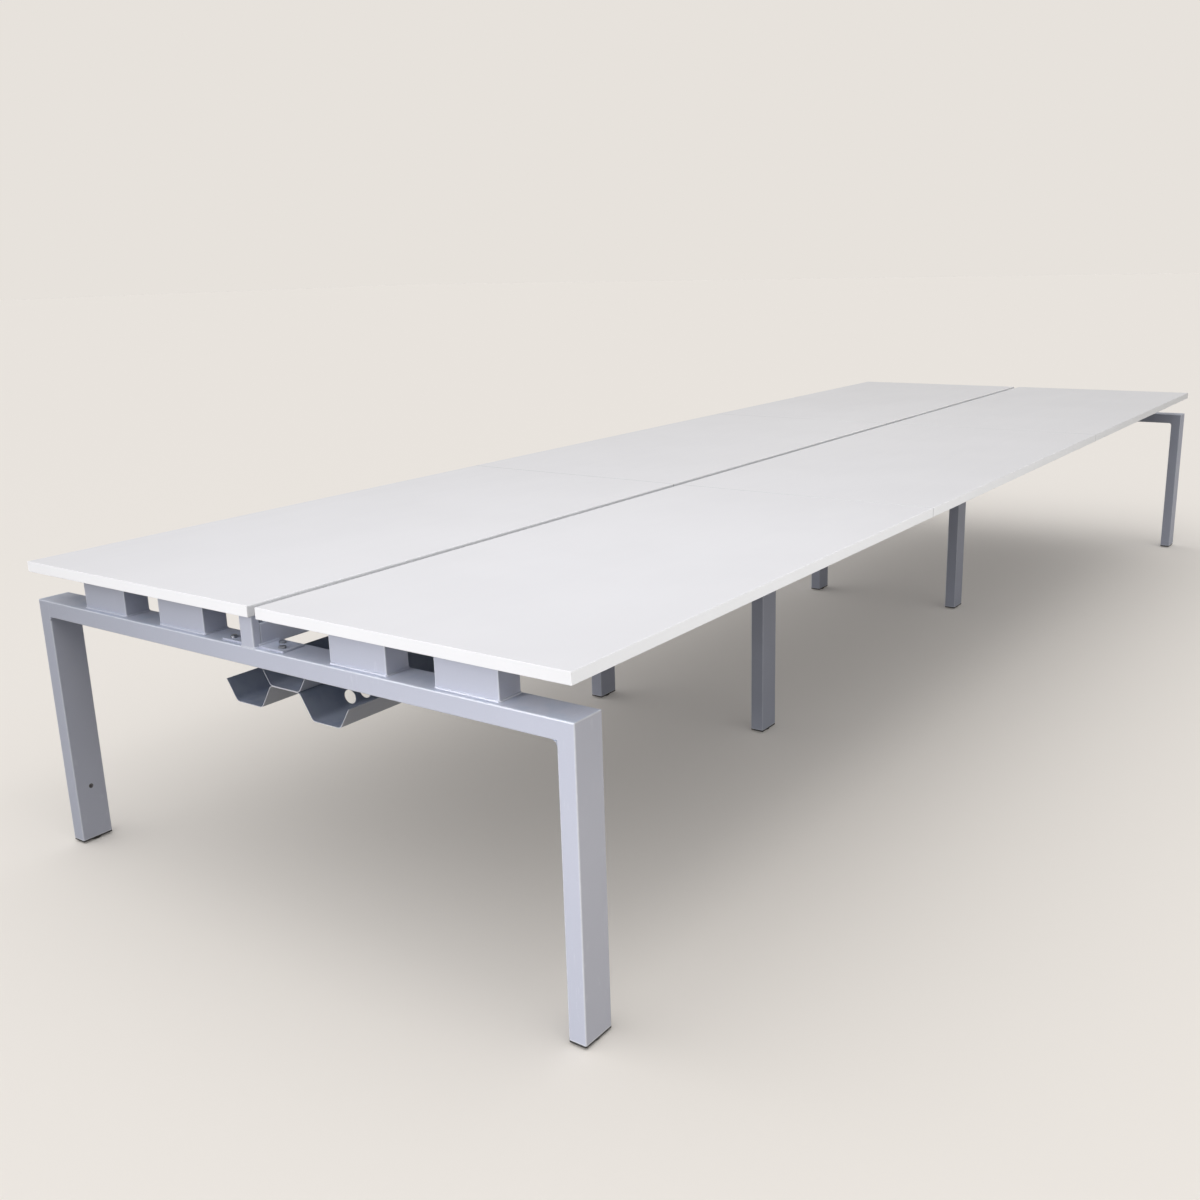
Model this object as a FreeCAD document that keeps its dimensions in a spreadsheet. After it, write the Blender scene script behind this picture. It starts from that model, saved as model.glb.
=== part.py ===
import FreeCAD, Part
import os
import Sketcher
from FreeCAD import Placement, Rotation, Vector

# Bench desk for six people: two rows of three tops on four welded frames.
# X runs along the desk from the near end to the far end, Y from the right row to the left row.
# The origin is on the floor under the middle of the desk. All sizes are in millimetres.

# Driving sizes
SIZES = {
    # desk tops
    "top_length": 1600,
    "top_depth": 800,
    "top_thickness": 25,
    "top_seam": 0.5,
    "row_gap": 25,
    "edging_thickness": 2,
    "edging_round": 1,
    "desk_height": 730,
    # frame tubes
    "tube_width": 80,
    "tube_height": 40,
    "tube_wall": 2,
    "tube_corner": 3,
    "end_setback": 10,
    "side_setback": 5,
    "corner_weld": 9,
    "inner_beam_overhang": 7.5,
    "inner_leg_offset": 300,
    "cap_flange": 3,
    "cap_depth": 20,
    # risers and posts under the tops
    "riser_height": 70,
    "riser_width": 155,
    "riser_depth": 60,
    "riser_setback": 15,
    "riser_wall": 2.5,
    "riser_plate": 3,
    "riser_corner": 1.5,
    "riser_pitch": 280,
    "inner_riser_pitch": 205,
    "post_width": 40,
    "post_depth": 20,
    # wood screws into the tops
    "screw_spread": 100,
    "screw_offset": 13,
    "screw_diameter": 4.5,
    "screw_bite": 15,
    "screw_head_diameter": 9,
    "screw_head_height": 3,
    # spine along the middle
    "spine_offset": 36,
    "spine_width": 40,
    "spine_height": 50,
    "spine_joint": 1,
    "lug_length": 76,
    "lug_width": 56,
    "lug_thickness": 4,
    "lug_bolt_reach": 26,
    "lug_bolt_spread": 30,
    "lug_bolt_stagger": 13,
    "bolt_diameter": 8,
    "bolt_length": 16,
    "bolt_head_flats": 13,
    "bolt_head_height": 5.3,
    # cable trays and their channels
    "tray_height": 462,
    "tray_sheet": 1.5,
    "tray_bend": 14,
    "tray_end_gap": 3,
    "tray_middle": 92,
    "tray_trough": 84,
    "tray_slope": 58,
    "tray_wall": 56,
    "tray_lip": 48,
    "channel_wall": 54,
    "tray_hole": 28,
    "tray_hole_pitch": 44,
    "tray_hole_start": 117,
    "tray_hole_rise": 18,
    # hangers
    "hanger_spread": 900,
    "hanger_width": 30,
    "hanger_sheet": 3,
    "hanger_overlap": 35,
    "hanger_bolt": 6,
    "hanger_bolt_flats": 10,
    "hanger_bolt_head": 4,
    "hanger_nut": 5,
    "hanger_screw": 5.5,
    "hanger_screw_bite": 6,
    "hanger_screw_head": 11,
    "hanger_screw_height": 3,
    # feet
    "foot_pad_height": 5,
    "foot_pad_diameter": 38,
    "foot_pad_round": 1.5,
    "foot_stud": 10,
    "foot_stud_length": 34,
    "insert_flange": 4,
    "insert_depth": 26,
    # threaded rivet nuts in the end legs
    "rivet_height": 145,
    "rivet_flange": 12,
    "rivet_flange_height": 1,
    "rivet_body": 9,
    "rivet_bore": 6,
    "rivet_depth": 12,
    # clearances
    "hole_clearance": 0.4,
    "plug_clearance": 0.4,
    "stud_clearance": 0.3,
}

# Shared places, worked out from the driving sizes
PITCH = "(Sizes.top_length + Sizes.top_seam)"
HALF_RUN = "(1.5 * Sizes.top_length + Sizes.top_seam)"
HALF_DEPTH = "(Sizes.row_gap / 2 + Sizes.top_depth)"
ROW = "(Sizes.row_gap / 2 + Sizes.top_depth / 2)"
TOP_UNDER = "(Sizes.desk_height - Sizes.top_thickness)"
FRAME_TOP = f"({TOP_UNDER} - Sizes.riser_height)"
BEAM_UNDER = f"({FRAME_TOP} - Sizes.tube_height)"
LEG_FOOT = "(Sizes.foot_pad_height + Sizes.insert_flange)"
END_FRAME = f"({HALF_RUN} - Sizes.end_setback - Sizes.tube_width / 2)"
END_RISER = f"({HALF_RUN} - Sizes.end_setback - Sizes.riser_setback - Sizes.riser_depth / 2)"
END_LEG = f"({HALF_DEPTH} - Sizes.side_setback - Sizes.tube_height / 2)"
INNER_BEAM = (f"(2 * ({ROW} + Sizes.inner_riser_pitch / 2 + Sizes.riser_width / 2"
              " + Sizes.inner_beam_overhang))")
POST_BACK = f"({HALF_RUN} - Sizes.end_setback - Sizes.post_depth)"
SPINE_SIDE = "(Sizes.spine_width / 2)"
TRAY_FLOOR = "(Sizes.tray_height + Sizes.tray_wall)"
CHANNEL_FLOOR = f"({TRAY_FLOOR} + Sizes.tray_sheet)"
HANGER_FLOOR = f"({CHANNEL_FLOOR} + Sizes.tray_sheet)"
BOLT_HOLE = "((Sizes.bolt_diameter + Sizes.hole_clearance) / 2)"
SCREW_HOLE = "((Sizes.screw_diameter + Sizes.hole_clearance) / 2)"
HANGER_HOLE = "((Sizes.hanger_bolt + Sizes.hole_clearance) / 2)"
HANGER_SCREW_HOLE = "((Sizes.hanger_screw + Sizes.hole_clearance) / 2)"

SIDES = {"right": -1, "left": 1}
ENDS = {"near": -1, "far": 1}
INNER = {"second": -1, "third": 1}
BAYS = {"near": -1, "middle": 0, "far": 1}

doc = FreeCAD.newDocument("BenchDesk")
sheet = doc.addObject("Spreadsheet::Sheet", "Sizes")
for row, (alias, size) in enumerate(SIZES.items(), start=1):
    sheet.set(f"A{row}", str(size))
    sheet.setAlias(f"A{row}", alias)
doc.recompute()

nodes = []


def number(expression):
    """Reads the value of an expression of the sheet's sizes."""
    return float(sheet.evalExpression(str(expression)))


def node(piece, name):
    """Names a piece for its file and keeps it in the list of pieces."""
    piece.Label = name
    nodes.append(piece)
    return piece


def place(piece, along, across, up):
    """Binds a piece's place to the sheet: along the desk, across it, and above the floor."""
    for axis, expression in zip("xyz", (along, across, up)):
        piece.setExpression(f"Placement.Base.{axis}", expression)
    return piece


def new_body(name):
    """Starts an empty body."""
    return doc.addObject("PartDesign::Body", name)


def new_sketch(body, role):
    """Starts a sketch on one of the body's own origin planes."""
    sketch = body.newObject("Sketcher::SketchObject", "Sketch")
    plane = next(item for item in body.Origin.OriginFeatures if item.Role == role)
    sketch.AttachmentSupport = [(plane, "")]
    sketch.MapMode = "FlatFace"
    return sketch


def bind(sketch, kind, index, point, expression):
    """Holds one coordinate of a sketch point at an expression of the sheet."""
    constraint = Sketcher.Constraint(kind, -1, 1, index, point, number(expression))
    held = sketch.addConstraint(constraint)
    sketch.setExpression(f"Constraints[{held}]", expression)


def outline(body, role, corners):
    """Draws a closed outline of straight lines through corners given as expressions."""
    sketch = new_sketch(body, role)
    points = [Vector(number(x), number(y), 0) for x, y in corners]
    for start, end in zip(points, points[1:] + points[:1]):
        sketch.addGeometry(Part.LineSegment(start, end), False)
    for index in range(len(corners)):
        follower = (index + 1) % len(corners)
        sketch.addConstraint(Sketcher.Constraint("Coincident", index, 2, follower, 1))
    for index, (x, y) in enumerate(corners):
        bind(sketch, "DistanceX", index, 1, x)
        bind(sketch, "DistanceY", index, 1, y)
    return sketch


def rectangle(body, role, wide, tall):
    """Draws a rectangle centred on the body's origin."""
    x, y = f"({wide}) / 2", f"({tall}) / 2"
    return outline(body, role, [(f"-{x}", f"-{y}"), (x, f"-{y}"), (x, y), (f"-{x}", y)])


def circles(body, role, centres, radius):
    """Draws equal circles about centres given as expressions."""
    sketch = new_sketch(body, role)
    for index, (x, y) in enumerate(centres):
        centre = Vector(number(x), number(y), 0)
        sketch.addGeometry(Part.Circle(centre, Vector(0, 0, 1), number(radius)), False)
        held = sketch.addConstraint(Sketcher.Constraint("Radius", index, number(radius)))
        sketch.setExpression(f"Constraints[{held}]", radius)
        bind(sketch, "DistanceX", index, 3, x)
        bind(sketch, "DistanceY", index, 3, y)
    return sketch


def pad(body, sketch, length, both_ways=True):
    """Gives a sketch its thickness, to both sides of its plane or to the plane's front."""
    feature = body.newObject("PartDesign::Pad", "Pad")
    feature.Profile = sketch
    feature.SideType = "Symmetric" if both_ways else "One side"
    feature.setExpression("Length", length)
    doc.recompute()
    return feature


def cut(body, sketch, depth=None, both_ways=True, forward=True):
    """Cuts a sketch out of a body, right through or to a depth, and makes sure that it cut."""
    before = body.Shape.Volume
    feature = body.newObject("PartDesign::Pocket", "Pocket")
    feature.Profile = sketch
    feature.SideType = "Symmetric" if both_ways else "One side"
    feature.Reversed = forward and not both_ways
    if depth is None:
        feature.Type = "ThroughAll"
    else:
        feature.setExpression("Length", depth)
    doc.recompute()
    if body.Shape.Volume > before - 1e-6:
        raise ValueError(f"{body.Name}: a cut removed nothing")
    return feature


def round_edges(body, wanted, radius):
    """Rounds the edges of a body that the test wanted picks out."""
    base = body.Tip
    names = [f"Edge{i}" for i, edge in enumerate(base.Shape.Edges, start=1) if wanted(edge)]
    feature = body.newObject("PartDesign::Fillet", "Fillet")
    feature.Base = (base, names)
    feature.setExpression("Radius", radius)
    doc.recompute()
    return feature


def runs_along(axis):
    """Gives a test for straight edges that run along one axis."""
    def test(edge):
        way = edge.tangentAt(edge.FirstParameter)
        return isinstance(edge.Curve, Part.Line) and abs(abs(way.dot(axis)) - 1) < 1e-6
    return test


AXES = {"XY_Plane": Vector(0, 0, 1), "XZ_Plane": Vector(0, 1, 0), "YZ_Plane": Vector(1, 0, 0)}


def tube(name, role, wide, tall, length):
    """Makes a hollow tube with rounded long edges, square to one of the origin planes."""
    body = new_body(name)
    pad(body, rectangle(body, role, wide, tall), length)
    round_edges(body, runs_along(AXES[role]), "Sizes.tube_corner")
    inner = [f"{size} - 2 * Sizes.tube_wall" for size in (wide, tall)]
    cut(body, rectangle(body, role, *inner))
    return body


def group(name, shapes):
    """Keeps like pieces together as separate solids of one node."""
    piece = doc.addObject("Part::Feature", name)
    piece.Shape = Part.makeCompound(shapes)
    return node(piece, name)


def copies(body, places):
    """Gives a body's solid at each of several places."""
    solids = []
    for place_of_copy in places:
        solid = body.Shape.copy()
        solid.Placement = place_of_copy.multiply(solid.Placement)
        solids.append(solid)
    return solids


def spot(x, y, z, turn=0):
    """Gives a place by expressions, turned about the upright by some degrees."""
    return Placement(Vector(number(x), number(y), number(z)), Rotation(Vector(0, 0, 1), turn))


def hexagon(flats, height):
    """Makes an upright hexagonal head or nut from its width across flats."""
    radius = flats / 3 ** 0.5
    ring = [Vector(radius, 0, 0)]
    turn = Rotation(Vector(0, 0, 1), 60)
    for _ in range(6):
        ring.append(turn.multVec(ring[-1]))
    return Part.Face(Part.makePolygon(ring)).extrude(Vector(0, 0, height))


def shank(diameter, start, end):
    """Makes an upright round bar between two levels."""
    return Part.makeCylinder(diameter / 2, end - start, Vector(0, 0, start))


# Desk tops


def screw_places(bay):
    """Gives a top's screw places along the desk and across it, from the top's own middle."""
    half = "Sizes.top_length / 2"
    joint = f"({half} + Sizes.top_seam / 2 - Sizes.screw_offset)"
    outer = f"({END_RISER} - {PITCH})"
    places = []
    for end in (-1, 1):
        at_end = end == BAYS[bay]
        reach = outer if at_end else joint
        pitch = "Sizes.riser_pitch" if at_end else "Sizes.inner_riser_pitch"
        for riser in (-1, 1):
            for screw in (-1, 1):
                across = f"{riser} * {pitch} / 2 + {screw} * Sizes.screw_spread / 2"
                places.append((f"{end} * {reach}", across))
    return places


def make_top(bay, side):
    """Makes one board with the blind holes that its screws bite into."""
    board = new_body("Top")
    inset = "2 * Sizes.edging_thickness"
    sizes = (f"Sizes.top_length - {inset}", f"Sizes.top_depth - {inset}")
    pad(board, rectangle(board, "XY_Plane", *sizes), "Sizes.top_thickness", both_ways=False)
    depth = "Sizes.screw_bite + 2 * Sizes.hole_clearance"
    holes = circles(board, "XY_Plane", screw_places(bay), SCREW_HOLE)
    cut(board, holes, depth, both_ways=False)
    place(board, f"{BAYS[bay]} * {PITCH}", f"{SIDES[side]} * {ROW}", TOP_UNDER)
    return node(board, f"top_{bay}_{side}")


def make_edging(bay, side):
    """Makes the band round one top, with its outer edges eased."""
    band = new_body("Edging")
    pad(band, rectangle(band, "XY_Plane", "Sizes.top_length", "Sizes.top_depth"),
        "Sizes.top_thickness", both_ways=False)
    upright = runs_along(Vector(0, 0, 1))
    round_edges(band, lambda edge: not upright(edge), "Sizes.edging_round")
    inset = "2 * Sizes.edging_thickness"
    sizes = (f"Sizes.top_length - {inset}", f"Sizes.top_depth - {inset}")
    cut(band, rectangle(band, "XY_Plane", *sizes))
    place(band, f"{BAYS[bay]} * {PITCH}", f"{SIDES[side]} * {ROW}", TOP_UNDER)
    return node(band, f"edging_{bay}_{side}")


# End frames


def make_end_leg(end, side):
    """Makes an end leg, mitred to the crossbeam, with a hole for its rivet nut."""
    leg = tube("EndLeg", "XY_Plane", "Sizes.tube_width", "Sizes.tube_height",
               f"{FRAME_TOP} - {LEG_FOOT}")
    outer, crown = f"{SIDES[side]} * Sizes.tube_height / 2", f"({FRAME_TOP} - {LEG_FOOT}) / 2"
    inner = f"-{SIDES[side]} * Sizes.tube_height / 2"
    corners = [(outer, crown), (inner, crown), (inner, f"{crown} - Sizes.tube_height")]
    cut(leg, outline(leg, "YZ_Plane", corners))
    middle = f"({FRAME_TOP} + {LEG_FOOT}) / 2"
    seat = "(Sizes.rivet_body + Sizes.hole_clearance) / 2"
    hole = circles(leg, "XZ_Plane", [("0", f"Sizes.rivet_height - {middle}")], seat)
    cut(leg, hole, both_ways=False, forward=side == "left")
    place(leg, f"{ENDS[end]} * {END_FRAME}", f"{SIDES[side]} * {END_LEG}", middle)
    return node(leg, f"{end}_leg_{side}")


def lug_holes(facing):
    """Gives the bolt places of the two lugs on a crossbeam, from the middle of the beam."""
    places = []
    for side in SIDES.values():
        for row in (-1, 1):
            reach = f"{SPINE_SIDE} + Sizes.lug_bolt_reach + {(1 + row) // 2} * Sizes.lug_bolt_spread"
            across = f"Sizes.spine_offset + {side} * ({reach})"
            places.append((f"{facing * row} * Sizes.lug_bolt_stagger", across))
    return places


def make_end_beam(end):
    """Makes the crossbeam of an end frame, mitred at both ends."""
    length = f"2 * ({END_LEG} + Sizes.tube_height / 2)"
    beam = tube("EndBeam", "XZ_Plane", "Sizes.tube_width", "Sizes.tube_height", length)
    crown = "Sizes.tube_height / 2"
    for side in SIDES.values():
        tip = f"{side} * ({length}) / 2"
        inner = f"{tip} - {side} * Sizes.tube_height"
        corners = [(tip, crown), (tip, f"-{crown}"), (inner, f"-{crown}")]
        cut(beam, outline(beam, "YZ_Plane", corners))
    cut(beam, circles(beam, "XY_Plane", lug_holes(ENDS[end]), BOLT_HOLE), both_ways=False)
    place(beam, f"{ENDS[end]} * {END_FRAME}", "0", f"{FRAME_TOP} - Sizes.tube_height / 2")
    return node(beam, f"{end}_crossbeam")


def make_corner_welds():
    """Makes the ground weld fillets in the inner corners of the end frames."""
    radius, depth = number("Sizes.corner_weld"), number("Sizes.tube_width")
    block = Part.makeBox(depth, radius, radius, Vector(-depth / 2, 0, -radius))
    hollow = Part.makeCylinder(radius, depth, Vector(-depth / 2, radius, -radius), Vector(1, 0, 0))
    weld = block.cut(hollow)
    solids = []
    for end in ENDS.values():
        for side in SIDES.values():
            inner = f"{side} * ({END_LEG} - Sizes.tube_height / 2)"
            turn = 180 if side == 1 else 0
            solid = weld.copy()
            solid.Placement = spot(f"{end} * {END_FRAME}", inner, BEAM_UNDER, turn)
            solids.append(solid)
    return group("corner_welds", solids)


# Inner frames


def make_inner_beam(frame):
    """Makes the shorter crossbeam of an inner frame."""
    beam = tube("InnerBeam", "XZ_Plane", "Sizes.tube_width", "Sizes.tube_height", INNER_BEAM)
    cut(beam, circles(beam, "XY_Plane", lug_holes(INNER[frame]), BOLT_HOLE), both_ways=False)
    place(beam, f"{INNER[frame]} * {PITCH} / 2", "0", f"{FRAME_TOP} - Sizes.tube_height / 2")
    return node(beam, f"{frame}_crossbeam")


def make_inner_leg(frame, side):
    """Makes a leg that stands under an inner crossbeam, in from the long edge."""
    leg = tube("InnerLeg", "XY_Plane", "Sizes.tube_width", "Sizes.tube_height",
               f"{BEAM_UNDER} - {LEG_FOOT}")
    place(leg, f"{INNER[frame]} * {PITCH} / 2", f"{SIDES[side]} * Sizes.inner_leg_offset",
          f"({BEAM_UNDER} + {LEG_FOOT}) / 2")
    return node(leg, f"{frame}_leg_{side}")


def plug(name, flange, depth):
    """Makes a plastic plug for a tube's end: flange below its origin, plug above."""
    body = new_body(name)
    pad(body, rectangle(body, "XY_Plane", "Sizes.tube_width", "Sizes.tube_height"),
        f"2 * {flange}")
    round_edges(body, runs_along(Vector(0, 0, 1)), "Sizes.tube_corner")
    fit = "- 2 * Sizes.tube_wall - Sizes.plug_clearance"
    sizes = (f"Sizes.tube_width {fit}", f"Sizes.tube_height {fit}")
    spare = rectangle(body, "XY_Plane", "2 * Sizes.tube_width", "2 * Sizes.tube_height")
    cut(body, spare, flange, both_ways=False)
    pad(body, rectangle(body, "XY_Plane", *sizes), depth, both_ways=False)
    return body


def make_end_caps():
    """Makes the caps in the open ends of the inner crossbeams."""
    cap = plug("EndCap", "Sizes.cap_flange", "Sizes.cap_depth")
    flat = Placement(Vector(), Rotation(Vector(1, 0, 0), 90))
    places = []
    for frame in INNER.values():
        for side in SIDES.values():
            tip = f"{side} * {INNER_BEAM} / 2"
            level = f"{FRAME_TOP} - Sizes.tube_height / 2"
            turn = 0 if side == 1 else 180
            places.append(spot(f"{frame} * {PITCH} / 2", tip, level, turn).multiply(flat))
    return group("beam_end_caps", copies(cap, places))


# Risers and posts


def make_riser(inner):
    """Makes a box riser: open below, with a plate on top that the screws pass."""
    riser = new_body("Riser")
    sizes = ("Sizes.riser_depth", "Sizes.riser_width")
    pad(riser, rectangle(riser, "XY_Plane", *sizes), "Sizes.riser_height", both_ways=False)
    round_edges(riser, runs_along(Vector(0, 0, 1)), "Sizes.riser_corner")
    hollow = [f"{size} - 2 * Sizes.riser_wall" for size in sizes]
    cut(riser, rectangle(riser, "XY_Plane", *hollow), "Sizes.riser_height - Sizes.riser_plate",
        both_ways=False)
    rows = (-1, 1) if inner else (0,)
    places = []
    for row in rows:
        for screw in (-1, 1):
            places.append((f"{row} * Sizes.screw_offset", f"{screw} * Sizes.screw_spread / 2"))
    cut(riser, circles(riser, "XY_Plane", places, SCREW_HOLE), both_ways=False)
    return riser


def riser_places(x, pitch):
    """Gives the places of a frame's four risers."""
    places = []
    for side in SIDES.values():
        for riser in (-1, 1):
            places.append(spot(x, f"{side} * {ROW} + {riser} * {pitch} / 2", FRAME_TOP))
    return places


def make_risers():
    """Makes the four risers of each frame, as one node to a frame."""
    outer, inner = make_riser(False), make_riser(True)
    for end, way in ENDS.items():
        places = riser_places(f"{way} * {END_RISER}", "Sizes.riser_pitch")
        group(f"{end}_risers", copies(outer, places))
    for frame, way in INNER.items():
        places = riser_places(f"{way} * {PITCH} / 2", "Sizes.inner_riser_pitch")
        group(f"{frame}_risers", copies(inner, places))


def make_post(end):
    """Makes the short post at the head of the spine, under the left row's inner edge."""
    post = tube("Post", "XY_Plane", "Sizes.post_depth", "Sizes.post_width", "Sizes.riser_height")
    front = f"({HALF_RUN} - Sizes.end_setback - Sizes.post_depth / 2)"
    level = f"{FRAME_TOP} + Sizes.riser_height / 2"
    place(post, f"{ENDS[end]} * {front}", "Sizes.spine_offset", level)
    return node(post, f"{end}_post")


def make_top_screws():
    """Makes the wood screws that hold the tops on the risers."""
    bite, plate = number("Sizes.screw_bite"), number("Sizes.riser_plate")
    head = number("Sizes.screw_head_height")
    screw = shank(number("Sizes.screw_diameter"), -plate, bite)
    screw = screw.fuse(shank(number("Sizes.screw_head_diameter"), -plate - head, -plate))
    solids = []
    for bay, step in BAYS.items():
        for side in SIDES.values():
            for along, across in screw_places(bay):
                solid = screw.copy()
                solid.Placement = spot(f"{step} * {PITCH} + {along}", f"{side} * {ROW} + {across}",
                                       TOP_UNDER)
                solids.append(solid)
    return group("top_screws", solids)


# Spine


def spine_span(bay):
    """Gives the near and far end of a bay's spine beam."""
    joint = "Sizes.spine_joint / 2"
    starts = {"near": f"-{POST_BACK}", "middle": f"-{PITCH} / 2 + {joint}",
              "far": f"{PITCH} / 2 + {joint}"}
    ends = {"near": f"-{PITCH} / 2 - {joint}", "middle": f"{PITCH} / 2 - {joint}",
            "far": f"{POST_BACK}"}
    return starts[bay], ends[bay]


def tray_span(bay):
    """Gives the near and far end of a bay's cable tray, clear of the crossbeams."""
    clear = "Sizes.tube_width / 2 + Sizes.tray_end_gap"
    frames = [f"-{END_FRAME}", f"-{PITCH} / 2", f"{PITCH} / 2", f"{END_FRAME}"]
    first = list(BAYS).index(bay)
    return f"({frames[first]} + {clear})", f"({frames[first + 1]} - ({clear}))"


def hanger_reaches(bay):
    """Gives the places of a bay's two hangers along the desk."""
    start, end = tray_span(bay)
    middle = f"({start} + {end}) / 2"
    return [f"{middle} + {way} * Sizes.hanger_spread / 2" for way in (-1, 1)]


def make_spine(bay):
    """Makes one length of the spine, with holes for its hangers' screws."""
    start, end = spine_span(bay)
    beam = tube("Spine", "YZ_Plane", "Sizes.spine_width", "Sizes.spine_height",
                f"({end}) - ({start})")
    middle = f"(({start}) + ({end})) / 2"
    level = "Sizes.hanger_overlap / 2 - Sizes.spine_height / 2"
    places = [(f"{reach} - {middle}", level) for reach in hanger_reaches(bay)]
    cut(beam, circles(beam, "XZ_Plane", places, HANGER_SCREW_HOLE))
    place(beam, middle, "Sizes.spine_offset", f"{FRAME_TOP} + Sizes.spine_height / 2")
    return node(beam, f"spine_{bay}")


def frame_reaches():
    """Gives every frame's place along the desk, with the way that it faces."""
    reaches = [(f"{way} * {END_FRAME}", way) for way in ENDS.values()]
    return reaches + [(f"{way} * {PITCH} / 2", way) for way in INNER.values()]


def make_lugs():
    """Makes the lugs on both sides of the spine at each frame."""
    solids = []
    for reach, way in frame_reaches():
        for side in SIDES.values():
            lug = new_body("Lug")
            pad(lug, rectangle(lug, "XY_Plane", "Sizes.lug_width", "Sizes.lug_length"),
                "Sizes.lug_thickness", both_ways=False)
            centre = f"(Sizes.spine_offset + {side} * ({SPINE_SIDE} + Sizes.lug_length / 2))"
            places = [(along, f"{across} - {centre}") for along, across in lug_holes(way)]
            own = places[:2] if side == -1 else places[2:]
            cut(lug, circles(lug, "XY_Plane", own, BOLT_HOLE), both_ways=False)
            place(lug, reach, centre, FRAME_TOP)
            doc.recompute()
            solids.append(lug.Shape.copy())
    return group("spine_lugs", solids)


def make_lug_bolts():
    """Makes the bolts that hold the lugs down on the crossbeams."""
    top, length = number("Sizes.lug_thickness"), number("Sizes.bolt_length")
    bolt = shank(number("Sizes.bolt_diameter"), top - length, top)
    head = hexagon(number("Sizes.bolt_head_flats"), number("Sizes.bolt_head_height"))
    head.translate(Vector(0, 0, top))
    bolt = bolt.fuse(head)
    solids = []
    for reach, way in frame_reaches():
        for along, across in lug_holes(way):
            solid = bolt.copy()
            solid.Placement = spot(f"{reach} + {along}", across, FRAME_TOP)
            solids.append(solid)
    return group("spine_bolts", solids)


# Cable trays, channels and hangers

LEAN = "tan(Sizes.tray_slope)"
FOLD = "(Sizes.tray_sheet * tan(Sizes.tray_slope / 2))"
LIP_IN = "(Sizes.tray_sheet * sin(Sizes.tray_slope))"
LIP_UP = "(Sizes.tray_sheet * cos(Sizes.tray_slope))"
MIDDLE = "(Sizes.tray_middle / 2)"
TROUGH_IN = f"({MIDDLE} + Sizes.tray_wall / {LEAN})"
TROUGH_OUT = f"({TROUGH_IN} + Sizes.tray_trough)"
LIP_OUT = f"({TROUGH_OUT} + Sizes.tray_lip / {LEAN})"
CHANNEL_OUT = f"({MIDDLE} + Sizes.channel_wall / {LEAN})"


def mirrored(half):
    """Gives a whole folded section from its right half, listed from the middle outwards."""
    return [(f"-{y}", z) for y, z in reversed(half)] + half


def folded(name, under, over, start, end):
    """Makes a folded sheet along a bay from the half sections of its two faces."""
    body = new_body(name)
    corners = mirrored(under) + list(reversed(mirrored(over)))
    pad(body, outline(body, "YZ_Plane", corners), f"{end} - {start}")
    along = runs_along(Vector(1, 0, 0))
    lips = [number(half[-1][1]) for half in (under, over)]

    def bend(edge):
        level = edge.Vertexes[0].Point.z
        return along(edge) and min(abs(level - lip) for lip in lips) > 1e-3
    round_edges(body, bend, "Sizes.tray_bend")
    return body


def tray_holes(start, end):
    """Gives the cable holes in a trough's inner wall, from the tray's middle and its floor."""
    half = f"({end} - {start}) / 2"
    places = []
    for way in (-1, 1):
        for step in range(4):
            inset = f"Sizes.tray_hole_start + {step} * Sizes.tray_hole_pitch"
            places.append((f"{way} * ({half} - ({inset}))", "Sizes.tray_hole_rise"))
    return places


def make_tray(bay):
    """Makes the folded tray of one bay: two troughs joined by a raised middle."""
    start, end = tray_span(bay)
    under = [(MIDDLE, "Sizes.tray_wall"), (TROUGH_IN, "0"), (TROUGH_OUT, "0"),
             (LIP_OUT, "Sizes.tray_lip")]
    sheet_up = "Sizes.tray_sheet"
    over = [(f"({MIDDLE} + {FOLD})", f"Sizes.tray_wall + {sheet_up}"),
            (f"({TROUGH_IN} + {FOLD})", sheet_up), (f"({TROUGH_OUT} - {FOLD})", sheet_up),
            (f"({LIP_OUT} - {LIP_IN})", f"Sizes.tray_lip + {LIP_UP}")]
    tray = folded("Tray", under, over, start, end)
    reach = f"{TROUGH_IN} + Sizes.tray_bend"
    for forward in (False, True):
        holes = circles(tray, "XZ_Plane", tray_holes(start, end), "Sizes.tray_hole / 2")
        cut(tray, holes, reach, both_ways=False, forward=forward)
    bolts = [(f"{way} * Sizes.hanger_spread / 2", "0") for way in (-1, 1)]
    cut(tray, circles(tray, "XY_Plane", bolts, HANGER_HOLE))
    place(tray, f"({start} + {end}) / 2", "Sizes.spine_offset", "Sizes.tray_height")
    return node(tray, f"tray_{bay}")


def make_channel(bay):
    """Makes the channel that stands on the tray's raised middle."""
    start, end = tray_span(bay)
    under = [(MIDDLE, "0"), (CHANNEL_OUT, "Sizes.channel_wall")]
    over = [(f"({MIDDLE} - {FOLD})", "Sizes.tray_sheet"),
            (f"({CHANNEL_OUT} - {LIP_IN})", f"Sizes.channel_wall + {LIP_UP}")]
    channel = folded("Channel", under, over, start, end)
    bolts = [(f"{way} * Sizes.hanger_spread / 2", "0") for way in (-1, 1)]
    cut(channel, circles(channel, "XY_Plane", bolts, HANGER_HOLE))
    place(channel, f"({start} + {end}) / 2", "Sizes.spine_offset", CHANNEL_FLOOR)
    return node(channel, f"channel_{bay}")


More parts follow.
